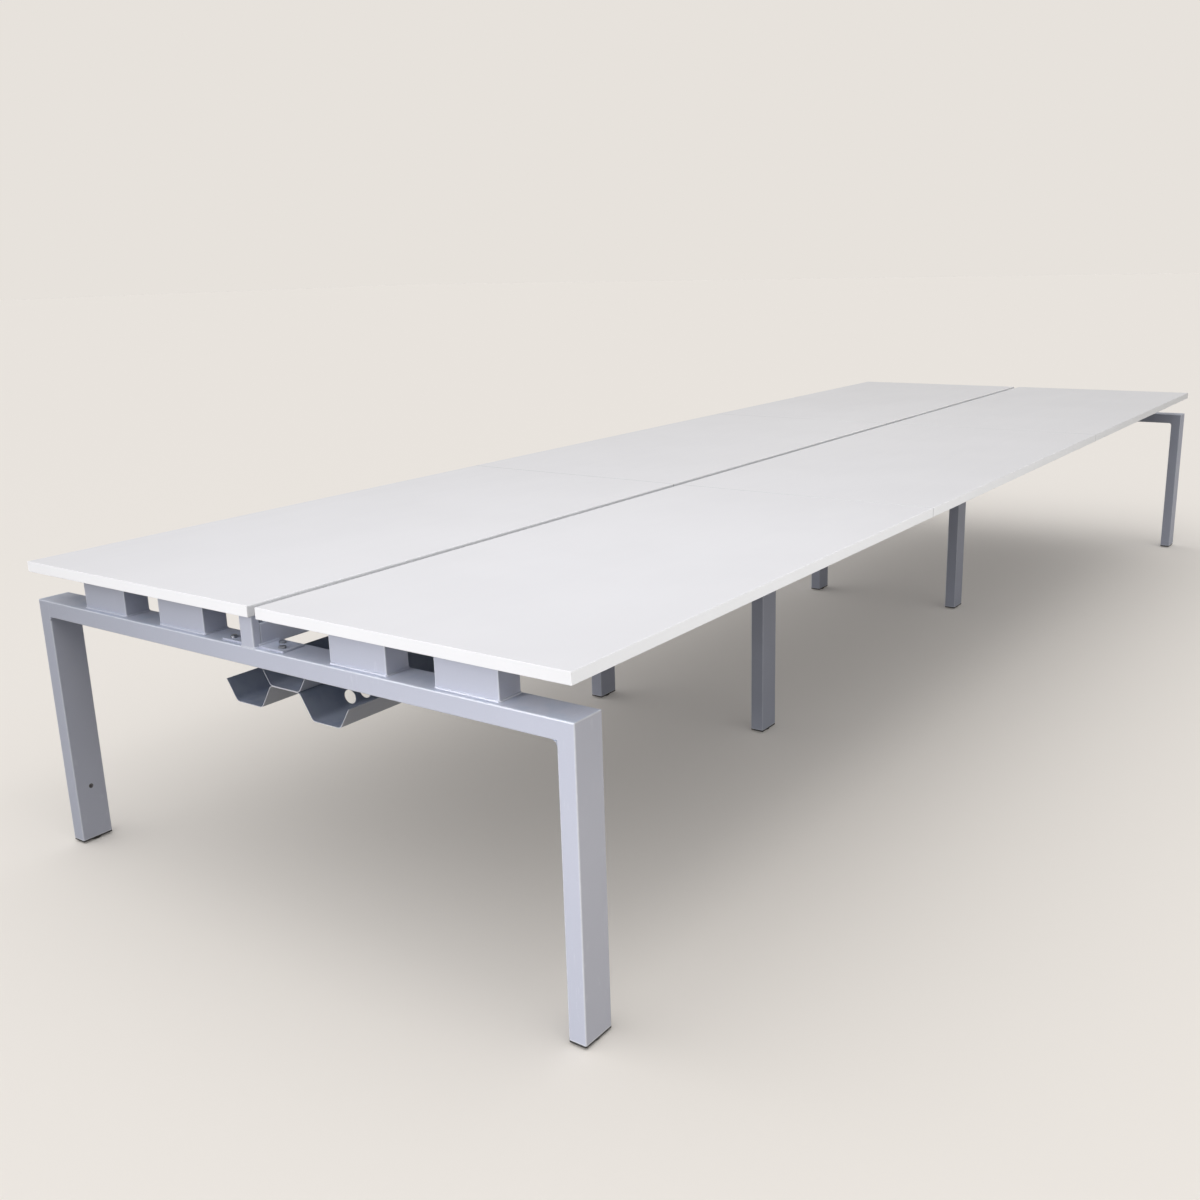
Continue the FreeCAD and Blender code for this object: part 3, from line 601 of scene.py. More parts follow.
@dataclass(frozen=True)
class Effects:
    """The shader node groups that the finishes share, each built once.

    Scales are multiples of the group's own scale, or lumps in a metre, and depths are shares.
    """

    pit_scale: float = 3.1
    pit_depth: float = 0.35
    fleck_scale: float = 6.0
    rag_scale: float = 85.0
    noise_middle: float = 0.5
    tilt_fade: float = 0.4
    scuffed_patches: float = 7.0
    spatter_scale: float = 2.7
    spatter_depth: float = 0.4

    def build(self) -> None:
        """Builds every group."""
        for make in (self._peel, self._fleck, self._wear, self._cloud, self._upward, self._dust,
                     self._scuff, self._ripple, self._joint):
            make()

    def _peel(self) -> None:
        """Builds the low lumps of sprayed powder."""
        group = Group(Effect.PEEL, Scale=Kind.NUMBER)
        lumps = group.noise(group.point, group.given["Scale"], detail=1.0)
        finer = group.math("MULTIPLY", group.given["Scale"], self.pit_scale)
        pits = group.noise(group.point, finer, detail=1.0)
        group.close(group.math("MULTIPLY_ADD", pits, self.pit_depth, lumps))

    def _fleck(self) -> None:
        """Builds the fine flecks of metal in powder."""
        group = Group(Effect.FLECK, Scale=Kind.NUMBER)
        finer = group.math("MULTIPLY", group.given["Scale"], self.fleck_scale)
        group.close(group.span(group.noise(group.point, finer, detail=0.0), low=0.35, high=0.68))

    def _wear(self) -> None:
        """Builds the mask of a box's edges, which carries thin rubbed paint with a painted highlight on
        the coats, and the glue line on the boards.
        """
        group = Group(Effect.WEAR, Half=Kind.VECTOR, Width=Kind.NUMBER, Rag=Kind.NUMBER)
        depth = group.vector("SUBTRACT", group.given["Half"], group.vector("ABSOLUTE", group.point))
        along, across, up = group.split(depth)
        lesser = group.math("MINIMUM", along, across)
        greater = group.math("MAXIMUM", along, across)
        second = group.math("MAXIMUM", lesser, group.math("MINIMUM", greater, up))
        ragged = group.noise(group.point, self.rag_scale, detail=3.0)
        rag = group.math("SUBTRACT", ragged, self.noise_middle)
        second = group.math("MULTIPLY_ADD", rag, group.given["Rag"], second)
        group.close(group.span(second, low=0.0, high=group.given["Width"], start=1.0, end=0.0))

    def _cloud(self) -> None:
        """Builds slow unevenness of a coat or a board."""
        group = Group(Effect.CLOUD, Scale=Kind.NUMBER)
        broad = group.noise(group.point, group.given["Scale"], detail=3.0)
        group.close(group.span(broad, low=0.3, high=0.7))

    def _facing(self, group: Group) -> Socket:
        """Makes the mask of faces that look up more than a group's tilt.

        Args:
            group: The group, which has an input for the tilt.

        Returns:
            The mask.
        """
        normal = group.add("NewGeometry").outputs["Normal"]
        tilt = group.given["Tilt"]
        full = group.math("ADD", tilt, self.tilt_fade)
        return group.span(group.split(normal)[2], low=tilt, high=full)

    def _upward(self) -> None:
        """Builds the mask of faces that look up."""
        group = Group(Effect.UPWARD, Tilt=Kind.NUMBER)
        group.close(self._facing(group))

    def _dust(self) -> None:
        """Builds patches on faces that look up, for settled dust, and on the coats for painted shade as
        well.
        """
        group = Group(Effect.DUST_AND_SHADE, Scale=Kind.NUMBER, Tilt=Kind.NUMBER, Least=Kind.NUMBER)
        patches = group.noise(group.point, group.given["Scale"], detail=4.0)
        thick = group.span(patches, low=0.4, high=0.75, start=group.given["Least"])
        group.close(group.math("MULTIPLY", self._facing(group), thick))

    def _scuff(self) -> None:
        """Builds sparse short scratches drawn out along one way."""
        group = Group(Effect.SCUFF, Stretch=Kind.VECTOR)
        drawn = group.vector("MULTIPLY", group.point, group.given["Stretch"])
        lines = group.span(group.noise(drawn, scale=1.0), low=0.60, high=0.72)
        where = group.span(group.noise(group.point, self.scuffed_patches), low=0.5, high=0.68)
        group.close(group.math("MULTIPLY", lines, where))

    def _ripple(self) -> None:
        """Builds the fine scales and spatter of a weld bead."""
        group = Group(Effect.RIPPLE, Scale=Kind.NUMBER)
        scale = group.given["Scale"]
        cells = group.add("TexVoronoi", feature="SMOOTH_F1")
        group.give(cells, Vector=group.point, Scale=scale)
        spatter = group.noise(group.point, group.math("MULTIPLY", scale, self.spatter_scale))
        group.close(group.math("MULTIPLY_ADD", spatter, self.spatter_depth, cells.outputs["Distance"]))

    @staticmethod
    def _joint() -> None:
        """Builds the mask beside a plane across one axis, and beside its mirror image."""
        group = Group(Effect.JOINT, Axis=Kind.VECTOR, Place=Kind.NUMBER, Full=Kind.NUMBER,
                      Gone=Kind.NUMBER)
        away = group.vector("DOT_PRODUCT", group.vector("ABSOLUTE", group.point), group.given["Axis"])
        away = group.math("ABSOLUTE", group.math("SUBTRACT", away, group.given["Place"]))
        full, gone = group.given["Full"], group.given["Gone"]
        group.close(group.span(away, low=full, high=gone, start=1.0, end=0.0))


@dataclass(frozen=True)
class Layer:
    """One effect on a finish, and what it does where it shows.

    Where the effect is full, a share of the colour covers what is below, and the roughness changes by
    rough and is no less than least. The stretch draws out the effect's coordinates.
    """

    effect: Effect
    inputs: dict[str, Given]
    colour: Triple | None = None
    share: float = 1.0
    rough: float = 0.0
    least: float = 0.0
    stretch: Triple | None = None


@dataclass(frozen=True)
class Bumps:
    """The bumps of a finish: the effect that shapes them, how far they show and how deep they are."""

    effect: Effect
    inputs: dict[str, Given]
    strength: float
    depth: float


@dataclass(frozen=True)
class Finish(ABC):
    """What every finish has. The ground is the tone of its colour that lies under its layers."""

    name: str
    colour: Triple
    roughness: float
    bumps: Bumps
    ground: float = 1.0
    metallic: float = 0.0
    specular: float = 0.5

    def tone(self, factor: float) -> Triple:
        """Makes a lighter or darker tone of the finish's own colour."""
        return tuple(min(1.0, part * factor) for part in self.colour)

    @abstractmethod
    def layers(self) -> Sequence[Layer]:
        """Lists the layers from the ground up."""

    def material(self, part: str, half: Vector | None = None, folds: Sequence[Vector] = ()) -> Material:
        """Makes the finish of one part.

        Args:
            part: The part's name.
            half: Half sizes of the part's box, for the mask along its edges: thin rubbed paint with a
                painted highlight on coats, the glue line on boards.
            folds: Centres that the coordinates are folded about in turn, which brings each of
                several equal boxes on the same one. The first is the part's centre.

        Returns:
            The material.
        """
        material = bpy.data.materials.new(f"{self.name}_{part}")
        nodes = Nodes(fresh_tree(material))
        point = nodes.add("TexCoord").outputs["Object"]
        colour, rough = self.tone(self.ground), self.roughness
        for layer in self.layers():
            inputs = {"Point": point, **layer.inputs}
            if layer.stretch is not None:
                inputs["Point"] = nodes.vector("MULTIPLY", point, layer.stretch)
            if layer.effect is Effect.WEAR:
                if half is None:
                    continue
                inputs |= {"Point": nodes.fold(point, folds), "Half": half}
            mask = nodes.effect(layer.effect, **inputs)
            if layer.colour is not None:
                colour = nodes.blend(nodes.math("MULTIPLY", mask, layer.share), colour, layer.colour)
            if layer.rough:
                rough = nodes.math("MULTIPLY_ADD", mask, layer.rough, rough)
            if layer.least:
                rough = nodes.math("MAXIMUM", rough, nodes.math("MULTIPLY", mask, layer.least))
        height = nodes.effect(self.bumps.effect, Point=point, **self.bumps.inputs)
        bump = nodes.give(nodes.add("Bump"), Strength=self.bumps.strength, Distance=self.bumps.depth,
                          Height=height)
        shader = nodes.give(nodes.add("BsdfPrincipled"), **{
            "Base Color": colour, "Roughness": rough, "Metallic": self.metallic,
            "Specular IOR Level": self.specular, "Normal": bump.outputs[0]})
        nodes.give(nodes.add("OutputMaterial"), Surface=shader.outputs[0])
        return material


@dataclass(frozen=True)
class Melamine(Finish):
    """White melamine on chipboard, with a faint pearl and the trace of cleaning."""

    ground: float = 0.985
    specular: float = 0.2
    peel_scale: float = 900.0
    wipes: Triple = (1.3, 9.0, 4.0)
    glue: float = 0.45 * MM
    glue_rag: float = 0.1 * MM
    bumps: Bumps = Bumps(Effect.PEEL, {"Scale": peel_scale}, strength=0.10, depth=0.05 * MM)

    def layers(self) -> Sequence[Layer]:
        """Lists clouds, pearl, the traces of cleaning and the glue line along the edges.

        Returns:
            The layers.
        """
        glue = {"Width": self.glue, "Rag": self.glue_rag}
        return (Layer(Effect.CLOUD, {"Scale": 3.2}, self.tone(1.012)),
                Layer(Effect.FLECK, {"Scale": self.peel_scale}, self.tone(0.992), share=0.5, rough=0.03),
                Layer(Effect.CLOUD, {"Scale": 2.6}, rough=0.05, stretch=self.wipes),
                Layer(Effect.WEAR, glue, self.tone(0.86), share=0.7))


@dataclass(frozen=True)
class EdgeBand(Finish):
    """White plastic edging with fine draw lines along it, trimmed flush with the board.

    Gap and seam are the distances of the edging's joints from the middle of the desk.
    """

    ground: float = 0.985
    draw_lines: Triple = (22.0, 22.0, 2600.0)
    gap: float = 12.5 * MM
    # Painted shade on the edging faces inside the gap between the rows.
    gap_shade_colour: Triple = (0.74, 0.74, 0.75)
    # The up-facing rim is painted darker, a painted shade that takes off the edging lamps' light there;
    # its roughness is the trim's.
    rim_tilt: float = 0.15
    rim_shade_colour: Triple = (0.66, 0.655, 0.67)
    trim_roughness: float = 0.55
    seam: float = 800.25 * MM
    # Painted shade over the seams' rims, which would catch the edging lamp.
    seam_colour: Triple = (0.44, 0.44, 0.45)
    seam_roughness: float = 0.95
    bumps: Bumps = Bumps(Effect.SCUFF, {"Stretch": draw_lines}, strength=0.12, depth=0.03 * MM)

    def layers(self) -> Sequence[Layer]:
        """Lists clouds, draw lines, painted shade in the gap, painted shade on the up-facing rim, which
        is also rougher, and painted shade on the seams, which are dull.

        Returns:
            The layers.
        """
        gap = {"Axis": (0, 1, 0), "Place": self.gap, "Full": 0.2 * MM, "Gone": 0.8 * MM}
        seam = {"Axis": (1, 0, 0), "Place": self.seam, "Full": 0.8 * MM, "Gone": 2.0 * MM}
        return (Layer(Effect.CLOUD, {"Scale": 14.0}, self.colour),
                Layer(Effect.SCUFF, {"Stretch": self.draw_lines}, rough=0.16),
                # Painted shade in the gap between the rows.
                Layer(Effect.JOINT, gap, self.gap_shade_colour, share=0.9),
                # Painted shade on the up-facing rim, which is also rougher.
                Layer(Effect.UPWARD, {"Tilt": self.rim_tilt}, self.rim_shade_colour,
                      least=self.trim_roughness),
                # Painted shade on the seams, which are also dull.
                Layer(Effect.JOINT, seam, self.seam_colour, least=self.seam_roughness))


@dataclass(frozen=True)
class PowderCoat(Finish):
    """Silver-grey powder coat: metal flecks, orange peel, thin paint along the edges with a painted
    highlight there, and dust with painted shade on faces that look up.
    """

    ground: float = 0.965
    metallic: float = 0.14
    peel_scale: float = 620.0
    scuffs: Triple = (60.0, 240.0, 34.0)
    edge_wear_and_highlight_colour: Triple = (0.74, 0.775, 0.85)
    edge_width: float = 3.8 * MM
    edge_rag: float = 1.6 * MM
    # Faces that look up turn darker and bluer: partly dust, partly painted shade on faces that sit under
    # the tops.
    dust_colour: Triple = (0.35, 0.44, 0.58)
    dust_share: float = 0.42
    dust_tilt: float = 0.55
    dust_least: float = 0.15
    dust_rough: float = 0.3
    bumps: Bumps = Bumps(Effect.PEEL, {"Scale": peel_scale}, strength=0.16, depth=0.12 * MM)

    def layers(self) -> Sequence[Layer]:
        """Lists flecks, clouds, scuffs, worn edges with a painted highlight, and dust with painted
        shade.

        Returns:
            The layers.
        """
        wear_and_highlight = {"Width": self.edge_width, "Rag": self.edge_rag}
        # These patches on faces that look up carry dust and painted shade.
        dust = {"Scale": 22.0, "Tilt": self.dust_tilt, "Least": self.dust_least}
        return (Layer(Effect.FLECK, {"Scale": self.peel_scale}, self.tone(1.05), rough=0.05),
                Layer(Effect.CLOUD, {"Scale": 6.0}, self.tone(0.955), share=0.5, rough=0.03),
                Layer(Effect.SCUFF, {"Stretch": self.scuffs}, self.edge_wear_and_highlight_colour, share=0.14),
                # Lighter along the edges: partly thin rubbed paint, partly a painted highlight on the
                # rounded edges.
                Layer(Effect.WEAR, wear_and_highlight, self.edge_wear_and_highlight_colour, share=0.65, rough=-0.07),
                Layer(Effect.DUST_AND_SHADE, dust, self.dust_colour, self.dust_share,
                      rough=self.dust_rough * self.dust_share))


@dataclass(frozen=True)
class Zinc(Finish):
    """Zinc on steel, or bare steel, a little cloudy."""

    ground: float = 0.86
    metallic: float = 1.0
    scuffs: Triple = (900.0, 300.0, 120.0)
    bumps: Bumps = Bumps(Effect.SCUFF, {"Stretch": scuffs}, strength=0.2, depth=0.04 * MM)

    def layers(self) -> Sequence[Layer]:
        """Lists clouds and scuffs."""
        return (Layer(Effect.CLOUD, {"Scale": 160.0}, self.tone(1.06), rough=0.10),
                Layer(Effect.SCUFF, {"Stretch": self.scuffs}, rough=0.12))


@dataclass(frozen=True)
class MouldedPlastic(Finish):
    """Black moulded plastic with a spark-eroded grain and pale rubs."""

    ground: float = 0.8
    rub_colour: Triple = (0.11, 0.11, 0.11)
    rubs: Triple = (140.0, 140.0, 500.0)
    grain_scale: float = 1500.0
    bumps: Bumps = Bumps(Effect.PEEL, {"Scale": grain_scale}, strength=0.35, depth=0.08 * MM)

    def layers(self) -> Sequence[Layer]:
        """Lists grain, rubs and dust.

        Returns:
            The layers.
        """
        dust = {"Scale": 60.0, "Tilt": 0.55, "Least": 0.15}
        return (Layer(Effect.FLECK, {"Scale": self.grain_scale}, self.tone(1.3), rough=0.12),
                Layer(Effect.SCUFF, {"Stretch": self.rubs}, self.rub_colour, share=0.35),
                Layer(Effect.DUST_AND_SHADE, dust, self.rub_colour, share=0.2))


@dataclass(frozen=True)
class Finishes:
    """The desk's finishes."""

    board: Melamine = Melamine("white_board", (0.70, 0.695, 0.71), 0.46)
    band: EdgeBand = EdgeBand("white_band", (0.82, 0.82, 0.83), 0.34)
    coat: PowderCoat = PowderCoat("silver_coat", (0.495, 0.525, 0.63), 0.43)
    # The sheet coat's dark layer is painted shade: a dark blue-grey over nearly every face, fullest on
    # faces that look up, for the trays' shaded insides.
    sheet: PowderCoat = PowderCoat("sheet_coat", (0.60, 0.62, 0.68), 0.45,
                                   dust_colour=(0.21, 0.255, 0.355), dust_share=0.95,
                                   dust_tilt=0.05, dust_least=0.82)
    # The bead coat is a lighter copy of the silver coat: a painted highlight on the weld beads.
    bead: PowderCoat = PowderCoat("bead_coat", (0.56, 0.59, 0.69), 0.38,
                                  bumps=Bumps(Effect.RIPPLE, {"Scale": 420.0}, 0.5, 0.35 * MM))
    zinc: Zinc = Zinc("zinc", (0.60, 0.61, 0.63), 0.32)
    dull_zinc: Zinc = Zinc("dull_zinc", (0.36, 0.38, 0.42), 0.36)
    steel: Zinc = Zinc("dark_steel", (0.16, 0.16, 0.17), 0.36)
    plastic: MouldedPlastic = MouldedPlastic("black_plastic", (0.022, 0.022, 0.023), 0.42)


@dataclass
class SubAssembly:
    """What every sub-assembly is given."""

    finishes: Finishes

    def dress(self) -> None:
        """Gives the CAD nodes of the sub-assembly their finish."""

    def build(self) -> None:
        """Makes the pieces that the scene adds to the sub-assembly, where there are any."""

    def coat(self, node: str) -> None:
        """Coats a part without the worn paint and painted highlight along its edges."""
        dress(node, self.finishes.coat.material(node))

    def coat_box(self, node: str) -> None:
        """Coats a part that is one box, with worn paint and a painted highlight along its edges."""
        block = block_of(node)
        dress(node, self.finishes.coat.material(node, block.half, [block.centre]))


@dataclass
class DeskTops(SubAssembly):
    """The six boards and the edging round them."""

    def dress(self) -> None:
        """Gives each board and its edging a finish of its own."""
        for bay in Bay:
            for side in Side:
                name = f"{bay}_{side}"
                block = block_of(f"top_{name}")
                dress(f"top_{name}", self.finishes.board.material(name, block.half, [block.centre]))
                dress(f"edging_{name}", self.finishes.band.material(name))


@dataclass
class WeldedFrames(SubAssembly):
    """The four welded frames with their risers, posts and weld beads."""

    bead: WeldBead = WeldBead()
    least_step: float = 3.0 * MM

    def dress(self) -> None:
        """Gives tubes, risers and posts their coat."""
        for station in Station:
            for part in ("crossbeam", "leg_right", "leg_left"):
                self.coat_box(f"{station}_{part}")
            self._coat_risers(station)
            if station.is_end:
                self.coat_box(f"{station}_post")
        self.coat("corner_welds")

    def build(self) -> None:
        """Lays the beads of each frame."""
        for station in Station:
            beam = block_of(f"{station}_crossbeam")
            bm = bmesh.new()
            for riser in solids_of(f"{station}_risers"):
                self._beads_round(bm, riser, beam, beam.high.z)
            if station.is_end:
                self._beads_round(bm, block_of(f"{station}_post"), beam, beam.high.z)
            else:
                for side in Side:
                    self._beads_round(bm, block_of(f"{station}_leg_{side}"), beam, beam.low.z)
            bead = self.finishes.bead.material(f"{station}_frame")
            add_piece(f"weld_beads_{station}", bm, DESK, [bead])

    def _coat_risers(self, station: Station) -> None:
        """Coats the four risers of a frame as one box, folded about the rows.

        Args:
            station: The frame.
        """
        node = f"{station}_risers"
        first, _, inner, outer = solids_of(node)
        row, reach = (inner.centre + outer.centre).y / 2, (outer.centre - inner.centre).y / 2
        middle = Vector((inner.centre.x, 0, inner.centre.z))
        folds = [middle, Vector((0, row, 0)), Vector((0, reach, 0))]
        dress(node, self.finishes.coat.material(node, first.half, folds))

    def _beads_round(self, bm: BMesh, block: Block, beam: Block, height: float) -> None:
        """Lays a bead along each side of a block that stands back from the beam's edge.

        Args:
            bm: The bmesh that takes the beads.
            block: The part that is welded on.
            beam: The beam that it is welded to.
            height: Height of the joint.
        """
        low, high = block.low, block.high
        corners = [Vector((low.x, low.y, height)), Vector((high.x, low.y, height)),
                   Vector((high.x, high.y, height)), Vector((low.x, high.y, height))]
        room = (low.y - beam.low.y, beam.high.x - high.x, beam.high.y - high.y, low.x - beam.low.x)
        for step, start, end in zip(room, corners, corners[1:] + corners[:1]):
            if step > self.least_step:
                self.bead.lay(bm, start, end)


@dataclass
class SpineRun(SubAssembly):
    """The spine along the middle, with its lugs and bolts."""

    bead: WeldBead = WeldBead()
    washer_outer: float = 8.0 * MM
    washer_inner: float = 4.25 * MM
    washer_height: float = 1.4 * MM
    flats: float = 13.0 * MM
    chamfer: float = 0.25 * MM
    play: float = 0.25 * MM
    shank_steps: int = 24
    turn_between: float = 0.4

    def dress(self) -> None:
        """Coats the spine's lengths and the lugs."""
        for bay in Bay:
            self.coat_box(f"spine_{bay}")
        self.coat("spine_lugs")

    def build(self) -> None:
        """Makes the bolts with washers, and the beads along the lugs."""
        self._bolts()
        self._lug_beads()

    def _bolts(self) -> None:
        """Puts a hexagon bolt with a washer at each place of the CAD bolts."""
        blocks = solids_of("spine_bolts")
        seat = block_of("spine_lugs").high.z
        top, tip = blocks[0].high.z - seat, blocks[0].low.z - seat
        bolt = bmesh.new()
        c = self.chamfer
        rim, bore, high = self.washer_outer, self.washer_inner, self.washer_height
        spin_outline(bolt, ((bore, 0), (rim - c, 0), (rim, c), (rim, high - c), (rim - c, high),
                            (bore + c, high), (bore, high - c)), ring=True)
        Hexagon(self.flats, top - high).head(bolt, low=high)
        shank = bore - self.play
        spin_outline(bolt, ((0, tip), (shank - 2 * c, tip), (shank, tip + 2 * c), (shank, high + c),
                            (0, high + c)), self.shank_steps)
        places = []
        for index, block in enumerate(blocks):
            turn = Matrix.Rotation(self.turn_between * index, 4, "Z")
            places.append(Matrix.Translation((block.centre.x, block.centre.y, seat)) @ turn)
        zinc = self.finishes.dull_zinc.material("spine_bolts")
        swap_fasteners("spine_bolts_turned", "spine_bolts", bolt, places, zinc)

    def _lug_beads(self) -> None:
        """Lays a bead where each lug meets the side of the spine."""
        spine = block_of("spine_middle")
        bm = bmesh.new()
        for lug in solids_of("spine_lugs"):
            side = spine.low.y if lug.centre.y < spine.centre.y else spine.high.y
            start, end = (Vector((x, side, lug.high.z)) for x in (lug.low.x, lug.high.x))
            self.bead.lay(bm, start, end)
        bead = self.finishes.bead.material("spine_lugs")
        add_piece("weld_beads_lugs", bm, DESK, [bead])


@dataclass
class CableTrays(SubAssembly):
    """The trays, channels and hangers under the spine, with their bolts and screws.

    The cross recess of the screws is cut from a grid of cells. The head's outline is in millimetres.
    """

    bolt_flats: float = 10.0 * MM
    bolt_head: float = 4.0 * MM
    shank: float = 3.0 * MM
    core_share: float = 0.82
    crest_share: float = 0.97
    shank_steps: int = 24
    thread_steps: int = 14
    nut: float = 5.0 * MM
    longest_nut: float = 7.5 * MM
    pitch: float = 1.0 * MM
    recess_cells: int = 15
    recess_wide: int = 3
    recess_long: int = 11
    recess_half: float = 2.6 * MM
    recess_depth: float = 1.6 * MM
    recess_taper: float = 0.18 * MM
    crown: float = 0.15 * MM
    screw_head: float = 3.0 * MM
    turn_between: float = 0.7
    head_outline: Outline = (
        (3.9, 2.85), (4.6, 2.62), (5.1, 2.2), (5.4, 1.6), (5.5, 0.9), (5.5, 0.15), (5.35, 0.0),
        (2.7, 0.0), (2.7, -4.6), (2.1, -5.9))

    def dress(self) -> None:
        """Coats the folded sheets in the sheet coat, which paints shade over them, and the hangers."""
        for bay in Bay:
            for node in (f"tray_{bay}", f"channel_{bay}"):
                dress(node, self.finishes.sheet.material(node))
            self.coat(f"hangers_{bay}")

    def build(self) -> None:
        """Makes the bolts with their nuts, and the screws."""
        zinc = self.finishes.zinc.material("hanger_fasteners")
        bolts = [block for block in solids_of("hanger_bolts") if 2 * block.half.z > self.longest_nut]
        places = [Matrix.Translation((bolt.centre.x, bolt.centre.y, bolt.low.z)) for bolt in bolts]
        bolt = self._bolt(2 * bolts[0].half.z)
        swap_fasteners("hanger_bolts_turned", "hanger_bolts", bolt, places, zinc)
        places = self._screw_places("hanger_screws")
        swap_fasteners("hanger_screws_turned", "hanger_screws", self._screw(), places, zinc)

    def _bolt(self, length: float) -> BMesh:
        """Makes a bolt with its nut, standing on the nut.

        Args:
            length: Height from the nut's face to the top of the head.

        Returns:
            The bolt, on the Z axis.
        """
        bm = bmesh.new()
        under = length - self.bolt_head
        Hexagon(self.bolt_flats, self.bolt_head).head(bm, low=under)
        Hexagon(self.bolt_flats, self.nut).nut(bm, self.shank)
        core, turns = self.core_share * self.shank, round(under / self.pitch) - 1
        spin_outline(bm, ((0, 0), (core - self.crown, 0), (core, self.crown), (core, under), (0, under)),
                     self.shank_steps)
        thread = Thread(core, self.crest_share * self.shank, self.pitch, self.thread_steps)
        thread.wind(bm, under - self.pitch * (turns + 1), turns)
        return bm

    def _screw(self) -> BMesh:
        """Makes a pan-head screw with a cross recess, its head above the plane through the origin.

        Returns:
            The screw, on the Z axis.
        """
        bm = bmesh.new()
        outline = in_metres(self.head_outline)
        first, low = outline[0]
        count, half = self.recess_cells, self.recess_half
        bmesh.ops.create_grid(bm, x_segments=count, y_segments=count, size=half)
        for vert in bm.verts:
            share = vert.co.xy.length_squared / first ** 2
            vert.co.z = low + self.crown * (1 - share)
        wide, long = self.recess_wide * half / count, self.recess_long * half / count
        cross = []
        for face in bm.faces:
            lesser, greater = sorted(map(abs, face.calc_center_median().xy))
            if lesser < wide and greater < long:
                cross.append(face)
        bmesh.ops.inset_region(bm, faces=cross, thickness=self.recess_taper, depth=-self.recess_depth)
        turn_out(bm, [edge for edge in bm.edges if edge.is_boundary], outline)
        return bm

    def _screw_places(self, node: str) -> list[Matrix]:
        """Finds where the screws' heads seat, and turns each one outwards.

        Args:
            node: The CAD node of the screws.

        Returns:
            The turn and place of each screw.
        """
        spine = block_of("spine_middle")
        places = []
        for index, block in enumerate(solids_of(node)):
            side = 1 if block.centre.y > spine.centre.y else -1
            seat = (block.high.y if side > 0 else block.low.y) - side * self.screw_head
            out = Matrix.Rotation(-side * math.pi / 2, 4, "X")
            turn = Matrix.Rotation(self.turn_between * index, 4, "Z")
            places.append(Matrix.Translation((block.centre.x, seat, block.centre.z)) @ out @ turn)
        return places


@dataclass
class Feet(SubAssembly):
    """The levelling feet under the legs. The outline of the pad is in millimetres."""

    pad_height: float = 5.0 * MM
    pad_steps: int = 56
    stud: Thread = Thread(core=4.1 * MM, crest=5.0 * MM, pitch=1.5 * MM)
    turns: int = 19
    outline: Outline = (
        (0, 0.5), (6, 0.35), (12, 0.0), (15.5, 0.0), (17.6, 0.7), (18.7, 1.9), (19.0, 3.2),
        (18.8, 4.1), (18.0, 4.75), (16.6, 5.0), (9.0, 5.0), (8.4, 4.7), (0, 4.7))

    def dress(self) -> None:
        """Gives the inserts in the legs their plastic."""
        dress("foot_inserts", self.finishes.plastic.material("inserts"))

    def build(self) -> None:
        """Makes each foot with its threaded stud on its own body."""
        plastic = self.finishes.plastic.material("feet")
        zinc = self.finishes.zinc.material("studs")
        for station in Station:
            for side in Side:
                node = f"foot_{station}_{side}"
                block = block_of(node)
                spot = Matrix.Translation((block.centre.x, block.centre.y, block.low.z))
                whole = bmesh.new()
                stamp(whole, self._foot(), [spot])
                add_piece(f"level_{node}", whole, node, [plastic, zinc], [node])

    def _foot(self) -> BMesh:
        """Makes a foot, whose stud takes the second material.

        Returns:
            The foot, standing on the origin.
        """
        bm = bmesh.new()
        spin_outline(bm, in_metres(self.outline), self.pad_steps)
        pad_faces = len(bm.faces)
        self.stud.wind(bm, self.pad_height - self.stud.pitch / 2, self.turns)
        bm.faces.ensure_lookup_table()
        for face in bm.faces[pad_faces:]:
            face.material_index = 1
        return bm


@dataclass
class SmallParts(SubAssembly):
    """The end caps, rivet nuts and hidden wood screws.

    The nut's outline is in millimetres, from the mouth of the bore round to its inner end. The thread
    in the bore is a row of rings, and its flank is how far root and crest lie from each ring's height.
    """

    flange_height: float = 1.0 * MM
    depth: float = 12.0 * MM
    bore: float = 3.0 * MM
    thread: float = 0.5 * MM
    pitch: float = 1.0 * MM
    flank: tuple[float, float] = (-0.1 * MM, 0.4 * MM)
    turns: int = 11
    steps: int = 32
    outline: Outline = ((3.5, 1.0), (5.4, 1.0), (5.88, 0.7), (6.0, 0.0), (4.5, 0.0), (4.5, -12.0),
                        (3.0, -12.0))

    def dress(self) -> None:
        """Gives the caps and the wood screws their finish."""
        dress("beam_end_caps", self.finishes.plastic.material("end_caps"))
        dress("top_screws", self.finishes.zinc.material("top_screws"))

    def build(self) -> None:
        """Makes the rivet nuts with their threads in the inner faces of the end legs."""
        root, crest = self.flank
        outline = in_metres(self.outline)
        for turn in range(self.turns):
            rise = (turn + 1) * self.pitch - self.depth
            outline += [(self.bore, rise + root), (self.bore - self.thread, rise + crest)]
        outline.append((self.bore, self.flange_height - self.thread))
        nut = bmesh.new()
        spin_outline(nut, outline, self.steps, ring=True)
        places = []
        for block in solids_of("rivet_nuts"):
            side = 1 if block.centre.y > 0 else -1
            face = (block.low.y if side > 0 else block.high.y) + side * self.flange_height
            turn = Matrix.Rotation(side * math.pi / 2, 4, "X")
            places.append(Matrix.Translation((block.centre.x, face, block.centre.z)) @ turn)
        steel = self.finishes.steel.material("rivet_nuts")
        swap_fasteners("rivet_nuts_threaded", "rivet_nuts", nut, places, steel)


class Lit(Enum):
    """What a lamp lights."""

    DESK = "desk"
    SIDES = "sides"
    FRAME = "frame"
    EDGING = "edging"
    FLOOR = "floor"


